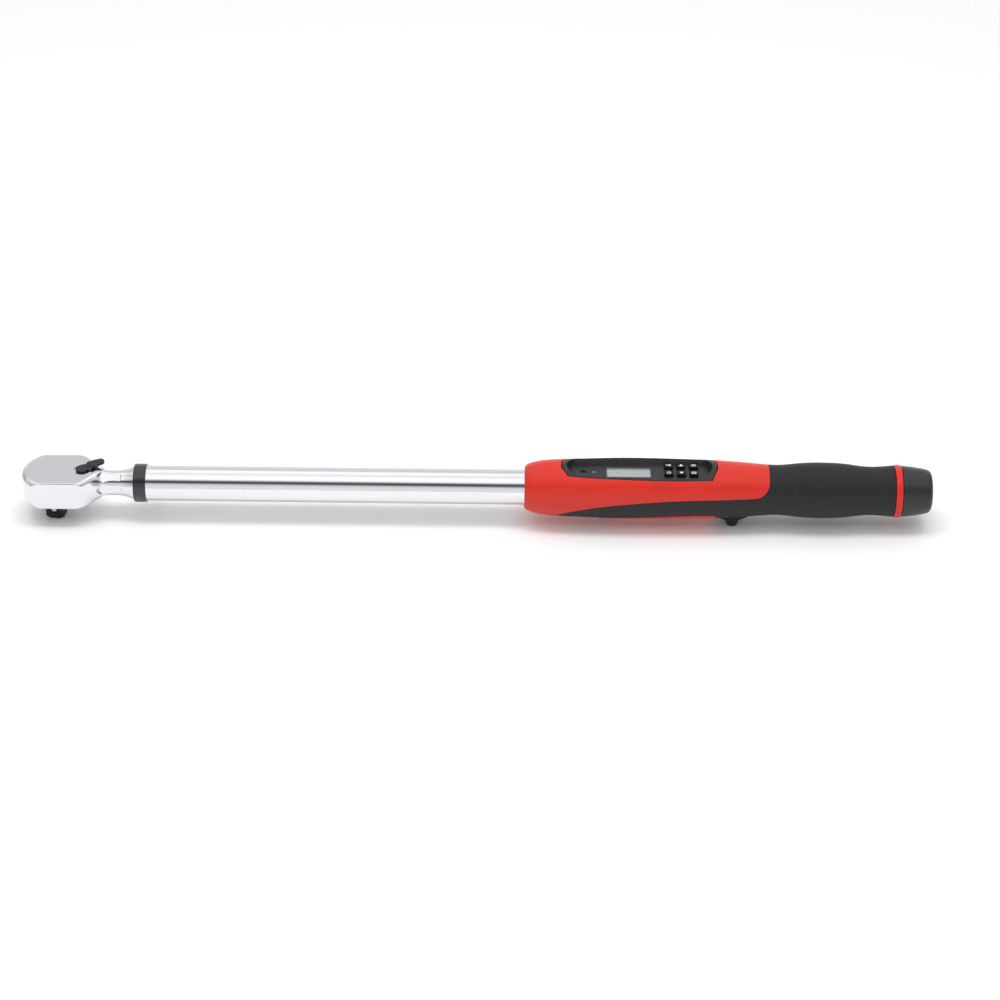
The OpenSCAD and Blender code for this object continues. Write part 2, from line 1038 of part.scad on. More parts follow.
ratchet_head();
drive_gear();
detent_ball();
detent_spring();
pawl();
reverse_lever();
lever_plunger();
plunger_spring();
lever_clip();
cover_plate();
snap_ring();
front_collar();
main_tube();
shank_pin();
measuring_beam();
strain_gauges();
gauge_cable();
handle_spine();
upper_housing();
lower_housing();
housing_screws();
display_bezel();
lcd_window();
lcd_panel();
lcd_holder();
main_board();
main_chip();
cable_socket();
key_switches();
board_screws();
buzzer();
indicator_led();
key_power();
key_up();
key_down();
key_set();
key_units();
key_memory();
grip_overmould();
rest_foot();
grip_core();
battery_front();
battery_rear();
front_contact();
accent_ring();
end_cap();
cap_contact();
battery_spring();
cap_o_ring();
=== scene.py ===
"""Looks of the torque wrench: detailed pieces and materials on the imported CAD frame.

X runs from the drive axis to the butt and Z is up. Shapes are worked out in millimetres about the
tube's axis and turned into metres of the shared frame when a mesh is made.
"""

import json
import math

import bmesh
import bpy
import numpy as np
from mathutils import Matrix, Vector


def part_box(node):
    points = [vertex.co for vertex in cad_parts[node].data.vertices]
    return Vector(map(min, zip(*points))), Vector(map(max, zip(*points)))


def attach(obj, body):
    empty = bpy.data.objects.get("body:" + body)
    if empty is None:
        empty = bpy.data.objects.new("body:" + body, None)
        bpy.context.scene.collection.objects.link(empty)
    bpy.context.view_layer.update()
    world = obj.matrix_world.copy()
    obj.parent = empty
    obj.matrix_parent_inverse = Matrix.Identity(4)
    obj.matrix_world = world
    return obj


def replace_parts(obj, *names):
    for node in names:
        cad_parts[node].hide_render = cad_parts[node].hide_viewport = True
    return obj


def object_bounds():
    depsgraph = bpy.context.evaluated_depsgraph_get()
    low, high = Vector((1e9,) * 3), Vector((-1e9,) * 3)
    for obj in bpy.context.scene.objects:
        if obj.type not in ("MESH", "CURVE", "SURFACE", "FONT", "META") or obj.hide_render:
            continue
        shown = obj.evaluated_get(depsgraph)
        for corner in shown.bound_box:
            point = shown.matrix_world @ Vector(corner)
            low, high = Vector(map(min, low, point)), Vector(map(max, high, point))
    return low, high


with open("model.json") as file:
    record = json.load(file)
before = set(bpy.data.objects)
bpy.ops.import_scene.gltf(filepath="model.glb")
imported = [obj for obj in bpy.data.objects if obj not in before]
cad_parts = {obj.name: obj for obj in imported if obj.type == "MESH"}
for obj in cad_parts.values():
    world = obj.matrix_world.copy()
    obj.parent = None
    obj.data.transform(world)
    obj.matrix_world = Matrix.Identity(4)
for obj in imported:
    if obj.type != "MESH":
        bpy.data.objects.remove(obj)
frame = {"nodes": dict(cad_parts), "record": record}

CAD_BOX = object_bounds()
MM = 0.001
NODES = frame["nodes"]


def box_mm(node):
    """Lowest and highest corner of a CAD node, in millimetres."""
    low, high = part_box(node)
    return [c / MM for c in low], [c / MM for c in high]


TUBE_LOW, TUBE_HIGH = box_mm("main_tube")
AXIS_Z = (TUBE_LOW[2] + TUBE_HIGH[2]) / 2
TUBE_R = (TUBE_HIGH[2] - TUBE_LOW[2]) / 2
GRIP_X = box_mm("upper_housing")[1][0]
BAND_X, CAP_X = (box_mm("accent_ring")[i][0] for i in (0, 1))
BUTT_X = box_mm("end_cap")[1][0]
COLLAR_LOW, COLLAR_HIGH = box_mm("front_collar")
PANEL_Z = 13.6
LEVER_X = 21.1
LEVER_TURN = math.radians(30)

# ---- Camera, floor and light ----

VIEW_TARGET = Vector((318.7, 0, 15.7)) * MM
VIEW_DISTANCE = 1.85
VIEW_AZIMUTH, VIEW_ELEVATION, VIEW_ROLL = (math.radians(a) for a in (-0.15, 35.28, 0.552))
LENS = 92.97


def make_camera():
    data = bpy.data.cameras.new("camera")
    data.lens = LENS
    data.sensor_width = 36
    data.clip_start, data.clip_end = 0.05, 20
    camera = bpy.data.objects.new("camera", data)
    bpy.context.scene.collection.objects.link(camera)
    ahead = Vector((
        math.sin(VIEW_AZIMUTH) * math.cos(VIEW_ELEVATION),
        math.cos(VIEW_AZIMUTH) * math.cos(VIEW_ELEVATION),
        -math.sin(VIEW_ELEVATION),
    ))
    right = Vector((math.cos(VIEW_AZIMUTH), -math.sin(VIEW_AZIMUTH), 0))
    up = right.cross(ahead)
    side = math.cos(VIEW_ROLL) * right + math.sin(VIEW_ROLL) * up
    top = -math.sin(VIEW_ROLL) * right + math.cos(VIEW_ROLL) * up
    place = VIEW_TARGET - VIEW_DISTANCE * ahead
    matrix = camera.matrix_world
    for row in range(3):
        matrix[row][0], matrix[row][1], matrix[row][2] = side[row], top[row], -ahead[row]
        matrix[row][3] = place[row]
    camera.matrix_world = matrix
    bpy.context.scene.camera = camera


def area_light(name, place, target, size, power):
    data = bpy.data.lights.new(name, "AREA")
    data.shape = "RECTANGLE"
    data.size, data.size_y = size
    data.energy = power
    light = bpy.data.objects.new(name, data)
    bpy.context.scene.collection.objects.link(light)
    light.location = place
    light.visible_glossy = False
    light.rotation_euler = (Vector(target) - Vector(place)).to_track_quat("-Z", "Y").to_euler()


def ramp_node(tree, stops):
    node = tree.nodes.new("ShaderNodeValToRGB")
    elements = node.color_ramp.elements
    while len(elements) < len(stops):
        elements.new(0.5)
    for element, (at, colour) in zip(elements, stops):
        element.position = at
        element.color = (*colour, 1)
    return node


# Brightness of the studio round the wrench's length: degrees from the zenith towards the camera's side
STUDIO = [
    (-180, 0.88), (-98, 0.90), (-66, 0.88), (-52, 0.74), (-44, 0.86), (-34, 1.30), (-20, 1.22), (-8, 1.02),
    (0, 1.12), (8, 1.32), (27, 1.30), (33, 0.90), (40, 0.28), (46, 0.05), (52, 0.10), (59, 0.48), (66, 0.84),
    (78, 0.92), (180, 0.90),
]
STUDIO_STRENGTH = 0.96


def make_world():
    """A studio of long strips of light, which are bands round the wrench's own length."""
    world = bpy.data.worlds.new("studio")
    world.use_nodes = True
    bpy.context.scene.world = world
    tree = world.node_tree
    coord = tree.nodes.new("ShaderNodeTexCoord")
    split = tree.nodes.new("ShaderNodeSeparateXYZ")
    flip = tree.nodes.new("ShaderNodeMath")
    flip.operation = "MULTIPLY"
    flip.inputs[1].default_value = -1
    angle = tree.nodes.new("ShaderNodeMath")
    angle.operation = "ARCTAN2"
    scale = tree.nodes.new("ShaderNodeMath")
    scale.operation = "MULTIPLY_ADD"
    scale.inputs[1].default_value = 1 / (2 * math.pi)
    scale.inputs[2].default_value = 0.5
    background = tree.nodes["Background"]
    tree.links.new(coord.outputs["Generated"], split.inputs[0])
    tree.links.new(split.outputs["Y"], flip.inputs[0])
    tree.links.new(flip.outputs[0], angle.inputs[0])
    tree.links.new(split.outputs["Z"], angle.inputs[1])
    tree.links.new(angle.outputs[0], scale.inputs[0])
    peak = max(level for _, level in STUDIO)
    stops = [((degrees + 180) / 360, (level / peak,) * 3) for degrees, level in STUDIO]
    ramp = ramp_node(tree, stops)
    tree.links.new(scale.outputs[0], ramp.inputs[0])
    tree.links.new(ramp.outputs[0], background.inputs[0])
    away = tree.nodes.new("ShaderNodeMath")
    away.operation = "ABSOLUTE"
    tree.links.new(split.outputs["X"], away.inputs[0])
    fade = ramp_node(tree, [(0.42, (1, 1, 1)), (0.8, (0.62, 0.62, 0.62))])
    tree.links.new(away.outputs[0], fade.inputs[0])
    strength = tree.nodes.new("ShaderNodeMath")
    strength.operation = "MULTIPLY"
    strength.inputs[1].default_value = STUDIO_STRENGTH * peak
    tree.links.new(fade.outputs[0], strength.inputs[0])
    tree.links.new(strength.outputs[0], background.inputs[1])


def make_stage():
    mesh = bpy.data.meshes.new("floor")
    half = 6.0
    corners = [(-half, -half, 0), (half, -half, 0), (half, half, 0), (-half, half, 0)]
    mesh.from_pydata(corners, [], [(0, 1, 2, 3)])
    floor = bpy.data.objects.new("floor", mesh)
    bpy.context.scene.collection.objects.link(floor)
    floor.location = (0.3, 0, CAD_BOX[0][2] - 0.0002)
    mat = bpy.data.materials.new("floor_white")
    mat.use_nodes = True
    shader = mat.node_tree.nodes["Principled BSDF"]
    shader.inputs["Base Color"].default_value = (0.92, 0.92, 0.92, 1)
    shader.inputs["Roughness"].default_value = 0.9
    mesh.materials.append(mat)


make_camera()
make_world()
make_stage()
area_light("top_softbox", (0.3, -0.1, 1.6), (0.3, 0, 0), (1.6, 0.4), 11)
area_light("front_softbox", (0.2, -1.3, 1.6), (0.3, 0, 0), (1.8, 0.9), 4)
bpy.context.scene.view_settings.view_transform = "Standard"

# ---- Materials ----


def noise_node(tree, coord, scale, detail, stretch=None):
    node = tree.nodes.new("ShaderNodeTexNoise")
    node.inputs["Scale"].default_value = scale
    node.inputs["Detail"].default_value = detail
    if stretch:
        mapping = tree.nodes.new("ShaderNodeMapping")
        mapping.inputs["Scale"].default_value = stretch
        tree.links.new(coord.outputs["Object"], mapping.inputs["Vector"])
        tree.links.new(mapping.outputs["Vector"], node.inputs["Vector"])
    else:
        tree.links.new(coord.outputs["Object"], node.inputs["Vector"])
    return node


def material(name, colour, metallic=0.0, rough=(0.4, 0.5), mottle=0.06, mottle_scale=60.0, rough_scale=260.0,
             bump=(0.02, 1800.0), stretch=None, edge=None, coat=0.0, coat_rough=0.1, alpha=1.0,
             specular=0.5, pores=None):
    """A surface with mottled colour, varying roughness and a fine bump, all in the piece's own space.

    bump is (height in mm, scale per metre); edge is (colour, strength) for worn edges; pores is
    (height in mm, scale per metre) for a grained moulding.
    """
    mat = bpy.data.materials.new(name)
    mat.use_nodes = True
    tree = mat.node_tree
    shader = tree.nodes["Principled BSDF"]
    coord = tree.nodes.new("ShaderNodeTexCoord")
    tint = noise_node(tree, coord, mottle_scale, 3.0, stretch)
    dark = [c * (1 - mottle) for c in colour]
    light = [min(1.0, c * (1 + mottle) + mottle * 0.01) for c in colour]
    colours = ramp_node(tree, [(0.3, dark), (0.7, light)])
    tree.links.new(tint.outputs["Fac"], colours.inputs[0])
    final = colours.outputs[0]
    if edge:
        geometry = tree.nodes.new("ShaderNodeNewGeometry")
        worn = ramp_node(tree, [(0.52, (0, 0, 0)), (0.60, (edge[1],) * 3)])
        mix = tree.nodes.new("ShaderNodeMix")
        mix.data_type = "RGBA"
        tree.links.new(geometry.outputs["Pointiness"], worn.inputs[0])
        tree.links.new(worn.outputs[0], mix.inputs[0])
        tree.links.new(final, mix.inputs[6])
        mix.inputs[7].default_value = (*edge[0], 1)
        final = mix.outputs[2]
    tree.links.new(final, shader.inputs["Base Color"])
    wander = noise_node(tree, coord, rough_scale, 5.0, stretch)
    span = tree.nodes.new("ShaderNodeMapRange")
    span.inputs["From Min"].default_value, span.inputs["From Max"].default_value = 0.3, 0.7
    span.inputs["To Min"].default_value, span.inputs["To Max"].default_value = rough
    tree.links.new(wander.outputs["Fac"], span.inputs["Value"])
    tree.links.new(span.outputs["Result"], shader.inputs["Roughness"])
    normal = None
    if bump:
        fine = noise_node(tree, coord, bump[1], 3.0, stretch)
        normal = tree.nodes.new("ShaderNodeBump")
        normal.inputs["Strength"].default_value = 0.6
        normal.inputs["Distance"].default_value = bump[0] * MM
        tree.links.new(fine.outputs["Fac"], normal.inputs["Height"])
    if pores:
        cells = tree.nodes.new("ShaderNodeTexVoronoi")
        cells.inputs["Scale"].default_value = pores[1]
        tree.links.new(coord.outputs["Object"], cells.inputs["Vector"])
        grain = tree.nodes.new("ShaderNodeBump")
        grain.inputs["Strength"].default_value = 0.7
        grain.inputs["Distance"].default_value = pores[0] * MM
        tree.links.new(cells.outputs["Distance"], grain.inputs["Height"])
        if normal:
            tree.links.new(normal.outputs["Normal"], grain.inputs["Normal"])
        normal = grain
    if normal:
        tree.links.new(normal.outputs["Normal"], shader.inputs["Normal"])
    shader.inputs["Metallic"].default_value = metallic
    shader.inputs["Coat Weight"].default_value = coat
    shader.inputs["Coat Roughness"].default_value = coat_rough
    shader.inputs["Specular IOR Level"].default_value = specular
    shader.inputs["Alpha"].default_value = alpha
    return mat


STEEL = (0.60, 0.60, 0.61)
MATS = {
    "chrome_head": material("chrome_head", (0.775, 0.785, 0.815), 1.0, (0.10, 0.14), 0.015, 60, 240,
                            (0.0006, 700)),
    "chrome_tube": material("chrome_tube", (0.80, 0.81, 0.835), 1.0, (0.07, 0.12), 0.02, 30, 160,
                            (0.001, 900), stretch=(0.15, 1, 1)),
    "black_oxide": material("black_oxide", (0.018, 0.018, 0.019), 0.8, (0.36, 0.48), 0.2, 300, 500,
                            (0.008, 2500), edge=((0.20, 0.20, 0.20), 0.12)),
    "black_collar": material("black_collar", (0.012, 0.012, 0.014), 0.0, (0.22, 0.32), 0.1, 200, 300,
                             (0.004, 2000), coat=0.4),
    "lever_black": material("lever_black", (0.060, 0.064, 0.070), 0.9, (0.24, 0.34), 0.15, 260, 500,
                            (0.006, 1600)),
    "bright_steel": material("bright_steel", STEEL, 1.0, (0.22, 0.34), 0.05, 200, 500, (0.004, 2200),
                             stretch=(1, 6, 1)),
    "spring_steel": material("spring_steel", (0.45, 0.45, 0.46), 1.0, (0.28, 0.4), 0.08, 300, 600),
    "red_plastic": material("red_plastic", (0.62, 0.020, 0.009), 0.0, (0.34, 0.42), 0.04, 40, 220,
                            (0.006, 1500), coat=0.08, coat_rough=0.2, specular=0.38),
    "black_rubber": material("black_rubber", (0.014, 0.014, 0.0155), 0.0, (0.50, 0.60), 0.06, 90, 300,
                             (0.012, 2600), pores=(0.02, 1100), specular=0.32),
    "black_plastic": material("black_plastic", (0.020, 0.020, 0.022), 0.0, (0.30, 0.38), 0.08, 120, 400,
                              (0.004, 2600), specular=0.42),
    "key_black": material("key_black", (0.006, 0.006, 0.0065), 0.0, (0.42, 0.52), 0.1, 200, 500,
                          (0.003, 3000), specular=0.22),
    "clear_window": material("clear_window", (0.86, 0.90, 0.93), 0.0, (0.02, 0.05), 0.01, 40, 100, None,
                             alpha=0.14, specular=0.5),
    "lcd_face": material("lcd_face", (0.25, 0.29, 0.31), 0.0, (0.25, 0.33), 0.02, 60, 300,
                         (0.001, 3000)),
    "white_plastic": material("white_plastic", (0.78, 0.78, 0.76), 0.0, (0.4, 0.5)),
    "board_green": material("board_green", (0.02, 0.16, 0.06), 0.0, (0.28, 0.38), 0.2, 500, 600),
    "contact_brass": material("contact_brass", (0.70, 0.52, 0.20), 1.0, (0.22, 0.34), 0.08),
    "gauge_film": material("gauge_film", (0.50, 0.26, 0.06), 0.0, (0.3, 0.4), 0.15, 1500),
    "cell_wrap": material("cell_wrap", (0.20, 0.22, 0.25), 0.3, (0.25, 0.35), 0.05),
    "cable_black": material("cable_black", (0.02, 0.02, 0.02), 0.0, (0.45, 0.55)),
    "led_lens": material("led_lens", (0.16, 0.05, 0.045), 0.0, (0.1, 0.2), 0.05, alpha=0.9),
    "symbol_white": material("symbol_white", (0.86, 0.87, 0.87), 0.0, (0.45, 0.55), 0.02, 300, 500,
                             (0.002, 3000)),
    # Dark LCD border colour: partly a real frame round the viewing area, partly painted shade for the
    # recessed bezel's shadow on the display's far edge
    "lcd_border_and_painted_shade": material("lcd_border_and_painted_shade", (0.085, 0.075, 0.085), 0.0, (0.35, 0.45), 0.05, 200, 500,
                           (0.002, 3000)),
    "symbol_grey": material("symbol_grey", (0.20, 0.20, 0.21), 0.0, (0.45, 0.55), 0.02, 300, 500,
                            (0.002, 3000)),
}

for entry in frame["record"]["subparts"]:
    mesh = NODES[entry["node"]].data
    mesh.materials.clear()
    mesh.materials.append(MATS[entry["material_slot"]])

# ---- Mesh tools ----


def face_outward(mesh):
    work = bmesh.new()
    work.from_mesh(mesh)
    bmesh.ops.recalc_face_normals(work, faces=work.faces)
    work.to_mesh(mesh)
    work.free()


def link(name, verts, faces, mat, body="wrench", sharp=38):
    """Makes a smooth-shaded object from points in millimetres about the tube's axis."""
    mesh = bpy.data.meshes.new(name)
    points = [(x * MM, y * MM, (z + AXIS_Z) * MM) for x, y, z in verts]
    mesh.from_pydata(points, [], faces)
    mesh.validate()
    face_outward(mesh)
    mesh.shade_smooth()
    mesh.set_sharp_from_angle(angle=math.radians(sharp))
    mesh.materials.append(MATS[mat])
    piece = bpy.data.objects.new(name, mesh)
    bpy.context.scene.collection.objects.link(piece)
    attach(piece, body)
    return piece


def curve(knots, n=16):
    """Smooth curve through the knots, as the CAD draws it, with n points for each stretch."""
    k = np.array(knots, float)
    out = []
    for i in range(len(k) - 1):
        a, b, c, d = k[max(i - 1, 0)], k[i], k[i + 1], k[min(i + 2, len(k) - 1)]
        for s in range(n):
            t = s / n
            out.append(0.5 * (2 * b + (c - a) * t + (2 * a - 5 * b + 4 * c - d) * t * t
                              + (3 * b - 3 * c + d - a) * t ** 3))
    out.append(k[-1])
    return np.array(out)


def rounded(points, radius, steps=5):
    """The polyline with each inner corner turned into an arc-like bend."""
    p = [np.array(q, float) for q in points]
    out = [p[0]]
    for before, here, after in zip(p, p[1:], p[2:]):
        into, away = here - before, after - here
        reach = min(radius, 0.45 * np.linalg.norm(into), 0.45 * np.linalg.norm(away))
        start = here - into / np.linalg.norm(into) * reach
        end = here + away / np.linalg.norm(away) * reach
        for s in range(steps + 1):
            t = s / steps
            out.append((1 - t) ** 2 * start + 2 * t * (1 - t) * here + t * t * end)
    out.append(p[-1])
    return out


def circle_outline(centre, radius, steps=48):
    return [(centre[0] + radius * math.cos(2 * math.pi * k / steps),
             centre[1] + radius * math.sin(2 * math.pi * k / steps)) for k in range(steps)]


def turned(name, line, mat, body="wrench", segments=160, sharp=38):
    """Solid of revolution about the tube's axis; the line's points are (x, radius)."""
    verts, faces, rings = [], [], []
    for x, r in line:
        if r < 1e-6:
            rings.append([len(verts)])
            verts.append((x, 0, 0))
        else:
            rings.append(list(range(len(verts), len(verts) + segments)))
            for k in range(segments):
                a = 2 * math.pi * k / segments
                verts.append((x, -r * math.cos(a), r * math.sin(a)))
    for a, b in zip(rings, rings[1:]):
        for k in range(segments):
            n = (k + 1) % segments
            if len(a) == 1:
                faces.append((a[0], b[n], b[k]))
            elif len(b) == 1:
                faces.append((a[k], a[n], b[0]))
            else:
                faces.append((a[k], a[n], b[n], b[k]))
    return link(name, verts, faces, mat, body, sharp=sharp)


def loft(name, loops, mat, body="wrench", cap_first=False, cap_last=True, sharp=38):
    """Skin through loops of equal length."""
    count = len(loops[0])
    verts = [tuple(p) for loop in loops for p in loop]
    faces = []
    for i in range(len(loops) - 1):
        for k in range(count):
            n = (k + 1) % count
            faces.append((i * count + k, i * count + n, (i + 1) * count + n, (i + 1) * count + k))
    if cap_first:
        faces.append(tuple(reversed(range(count))))
    if cap_last:
        faces.append(tuple((len(loops) - 1) * count + k for k in range(count)))
    return link(name, verts, faces, mat, body, sharp=sharp)


def surface_net(name, field, low, high, step, mat, body="wrench"):
    """Mesh of field(x, y, z) = 0 on a grid, with each point then moved onto the surface."""
    axes = [np.arange(a, b + step, step) for a, b in zip(low, high)]
    x, y, z = np.meshgrid(*axes, indexing="ij")
    value = field(x, y, z)
    inside = value < 0
    shape = np.array(value.shape) - 1
    corners = [(i, j, k) for i in (0, 1) for j in (0, 1) for k in (0, 1)]
    view = [inside[i:i + shape[0], j:j + shape[1], k:k + shape[2]] for i, j, k in corners]
    total = sum(v.astype(int) for v in view)
    active = (total > 0) & (total < 8)
    index = -np.ones(active.shape, int)
    index[active] = np.arange(active.sum())
    cells = np.argwhere(active)
    origin = np.array([a[0] for a in axes])
    points = origin + (cells + 0.5) * step
    small = step * 0.05
    for _ in range(6):
        here = field(*points.T)
        slope = np.stack([
            (field(*(points + small * e).T) - field(*(points - small * e).T)) / (2 * small)
            for e in np.eye(3)
        ], 1)
        size = np.maximum((slope ** 2).sum(1), 0.04)
        move = -(here / size)[:, None] * slope
        length = np.linalg.norm(move, axis=1, keepdims=True)
        points = points + move * np.minimum(1, step * 0.5 / np.maximum(length, 1e-9))
    faces = []
    for axis in range(3):
        other = [a for a in range(3) if a != axis]
        ahead = np.take(inside, range(1, inside.shape[axis]), axis)
        here = np.take(inside, range(0, inside.shape[axis] - 1), axis)
        edges = np.argwhere(ahead != here)
        keep = (edges[:, other] > 0).all(1) & (edges[:, other] < shape[other]).all(1)
        edges = edges[keep]
        u, v = np.eye(3, dtype=int)[other[0]], np.eye(3, dtype=int)[other[1]]
        quad = [index[tuple((edges - d).T)] for d in (0 * u, u, u + v, v)]
        quads = np.stack(quad, 1)
        outward = here[tuple(edges.T)]
        flip = outward if axis != 1 else ~outward
        quads[~flip] = quads[~flip][:, ::-1]
        faces += [tuple(q) for q in quads.tolist()]
    return link(name, points.tolist(), faces, mat, body, sharp=50)


def round_max(a, b, r):
    """Intersection of two fields with its edge rounded by r."""
    return np.minimum(np.maximum(a, b), -r) + np.hypot(np.maximum(a + r, 0), np.maximum(b + r, 0))


def round_min(a, b, r):
    """Union of two fields with a fillet of r."""
    return -round_max(-a, -b, r)


# ---- Ratchet head ----

HEAD_R, HEAD_FLAT = 22.4, 18.5
HEAD_TOP, HEAD_BOTTOM = 11.0, -11.4
SLAB_HALF = 20.5
TOP_EDGE = 3.0
CHAMFER_TURN, CHAMFER_AT, CHAMFER_TO = math.radians(50), 20.8, 22
NECK_KNOTS = [(0, 20.5), (10, 20.5), (16, 20.4), (20, 19.7), (23, 18.6), (26, 16.6), (30.5, 13),
              (34.4, 10.7), (38.5, 9.5), (43.5, 9.15), (48.7, 9.4), (52.9, 10.2), (58, 12)]
NECK = curve(NECK_KNOTS)
NECK_EVEN = 1 / np.sqrt(1 + np.gradient(NECK[:, 1], NECK[:, 0]) ** 2)
NECK_FLAT = 8.85
FLAT_MID, FLAT_HALF, CUTTER_R = 41.4, 7.4, 5.2
ROUND_FROM, ROUND_TO = 18, 31
PLATE_R, PLATE_Z = 16.4, -7
SEAT_R, SEAT_Z = 5.9, 9.5
CLIP_R, CLIP_Z = 4.0, -9


def head_body(x, y, z):
    """The forging before its cuts: a round-edged slab that turns into a round neck."""
    width = np.interp(x, NECK[:, 0], NECK[:, 1])
    even = np.interp(x, NECK[:, 0], NECK_EVEN)
    plan = np.maximum(np.hypot(x, y) - HEAD_R, np.abs(y) - SLAB_HALF)
    plan = np.where(x < 0, plan, (np.abs(y) - width) * even)
    top, bottom = z - HEAD_TOP, HEAD_BOTTOM - z
    front = np.clip((-x - 3) / 12, 0, 1)
    top_edge = TOP_EDGE + 1.5 * front
    bottom_edge = 4.6 + 0.6 * front
    slab = round_max(round_max(plan, bottom, bottom_edge), top, top_edge)
    neck = (np.hypot(y, z) - width) * even
    lift = 2.5 * np.clip((x - 38) / 8, 0, 1)
    neck = round_max(round_max(neck, bottom - lift, 2.0), top - lift, 2.0)
    share = np.clip((x - ROUND_FROM) / (ROUND_TO - ROUND_FROM), 0, 1)
    share = share * share * (3 - 2 * share)
    return slab * (1 - share) + neck * share


def head_field(x, y, z):
    solid = round_max(head_body(x, y, z), np.abs(y) - HEAD_FLAT, 0.3)
    chamfer = z * math.cos(CHAMFER_TURN) + np.abs(y) * math.sin(CHAMFER_TURN) - CHAMFER_AT
    solid = np.maximum(solid, np.where(x < CHAMFER_TO, chamfer, -1))
    for k in range(6):
        a = math.radians(60 * k)
        depth = z * math.sin(a) + y * math.cos(a) - NECK_FLAT
        across = z * math.cos(a) - y * math.sin(a)
        end = FLAT_HALF - CUTTER_R + np.sqrt(np.maximum(CUTTER_R ** 2 - across ** 2, 0))
        beyond = (np.abs(x - FLAT_MID) - end - depth * 0.7) * 0.82
        solid = round_max(solid, -np.maximum(-depth, beyond), 0.12)
    lever = np.hypot(x - LEVER_X, y)
    seat = np.maximum(lever - SEAT_R, SEAT_Z - z)
    solid = round_max(solid, -seat, 0.35)
    below = np.maximum(np.hypot(x, y) - PLATE_R, z - PLATE_Z)
    solid = round_max(solid, -below, 0.35)
    clip = np.maximum(lever - CLIP_R, z - CLIP_Z)
    solid = round_max(solid, -clip, 0.3)
    return np.maximum(solid, x - COLLAR_LOW[0] - 1)


def make_head():
    head = surface_net("ratchet_head_forging", head_field, (-24, -20.5, -13.5), (61, 20.5, 13.5), 0.45,
                       "chrome_head")
    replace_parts(head, "ratchet_head")


LEVER_Z = (9.6, 12.3)
HUB_R = 4.5
SPINDLE_R = 3.2
TAB_END, TAB_R0, TAB_R1 = 14.0, 4.2, 3.1


def lever_field(x, y, z):
    """The lever, pointing along +X from its own axis."""
    hub = round_max(np.hypot(x, y) - HUB_R, np.maximum(LEVER_Z[0] - z, z - LEVER_Z[1]), 0.5)
    t = np.clip(x / TAB_END, 0, 1)
    plan = np.hypot(x - t * TAB_END, y) - (TAB_R0 + (TAB_R1 - TAB_R0) * t)
    pad = np.clip((t - 0.30) / 0.15, 0, 1)
    crown = 12.7 + 1.5 * pad * pad * (3 - 2 * pad) - 0.02 * y * y
    grip = np.clip((-0.7 - plan) / 0.6, 0, 1)
    ridge = 0.42 * grip * np.clip(1.4 * np.cos((x - 3.0) * 2 * math.pi / 2.1), 0, 1)
    tab = round_max(plan, np.maximum(11.8 - z, z - crown - ridge), 0.6)
    return round_min(hub, tab, 0.5)


def turned_field(field, centre, angle):
    """The field moved to centre (x, y) and turned about Z."""
    c, s = math.cos(angle), math.sin(angle)

    def moved(x, y, z):
        dx, dy = x - centre[0], y - centre[1]
        return field(c * dx + s * dy, -s * dx + c * dy, z)
    return moved


def make_lever():
    field = turned_field(lever_field, (LEVER_X, 0), LEVER_TURN)
    thumbpiece = surface_net("reverse_lever_thumbpiece", field, (14, -7, 9), (40, 13, 16), 0.22,
                             "lever_black", "lever")
    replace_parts(thumbpiece, "reverse_lever")
    low = box_mm("reverse_lever")[0][2] - AXIS_Z
    line = rounded([(low, 0), (low, SPINDLE_R), (LEVER_Z[0] + 0.5, SPINDLE_R), (LEVER_Z[0] + 0.5, 0)], 0.4, 3)
    loops = [circle_outline((LEVER_X, 0), r, 40) for _, r in line[1:-1]]
    loft("reverse_lever_spindle", [[(x, y, z) for x, y in loop] for loop, (z, _) in zip(loops, line[1:-1])],
         "lever_black", "lever", cap_first=True)


make_head()
make_lever()

# ---- Tube, collar, band and cap ----


def make_shaft():
    x0, x1 = COLLAR_LOW[0], COLLAR_HIGH[0]
    r = (COLLAR_HIGH[2] - COLLAR_LOW[2]) / 2
    mid = (x0 + x1) / 2
    line = rounded([(x0, 9), (x0, r - 0.1), (mid - 0.5, r), (mid + 0.5, r), (x1, r - 0.1), (x1, TUBE_R)],
                   0.9)
    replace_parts(turned("front_collar_ring", line, "black_collar"), "front_collar")
    start, end = TUBE_LOW[0], TUBE_HIGH[0]
    line = [(start, TUBE_R - 2), (start, TUBE_R), (start + 6, TUBE_R), (end, TUBE_R), (end, TUBE_R - 2)]
    tube = turned("main_tube_skin", line, "chrome_tube", segments=256)
    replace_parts(tube, "main_tube")


def make_band():
    x0, x1 = BAND_X + 0.12, CAP_X - 0.12
    line = rounded([(x0, 15.5), (x0, 18.75), ((x0 + x1) / 2, 18.95), (x1, 18.7), (x1, 15.5)], 0.8)
    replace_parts(turned("accent_ring_band", line, "red_plastic"), "accent_ring")


THREAD_ROOT = 11.7
CAP_KNOTS = [(604, 18.3), (609.6, 17.8), (615.8, 17), (620.9, 16.1), (624, 15.1), (625.5, 13.4)]


def make_cap():
    body = curve(CAP_KNOTS, 8)
    back = CAP_X + 0.15
    front = CAP_X - 13.5
    line = [np.array((CAP_X - 2, 0)), np.array((CAP_X - 2, 9.9))]
    line += rounded([(front + 0.4, 10.0), (front, 10.4), (front, 11.0), (front + 0.8, 11.75)], 0.3, 3)
    line += rounded([(front + 9.4, 11.8), (front + 9.8, 11.3), (CAP_X - 1.8, 11.3), (CAP_X - 1.5, 11.9),
                     (back, 11.9)], 0.2, 3)
    line += rounded([(back, 12.1), (back, 18.2)] + [tuple(p) for p in body[3:]], 0.5, 4)
    line += rounded([(BUTT_X, 12.9), (BUTT_X - 0.5, 11.6), (BUTT_X - 0.7, 6.0)], 0.8, 4)
    line += [np.array((BUTT_X - 0.7, 0))]
    cap = turned("end_cap_shell", line, "black_plastic", "cap", sharp=45)
    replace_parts(cap, "end_cap")
    make_cap_thread()


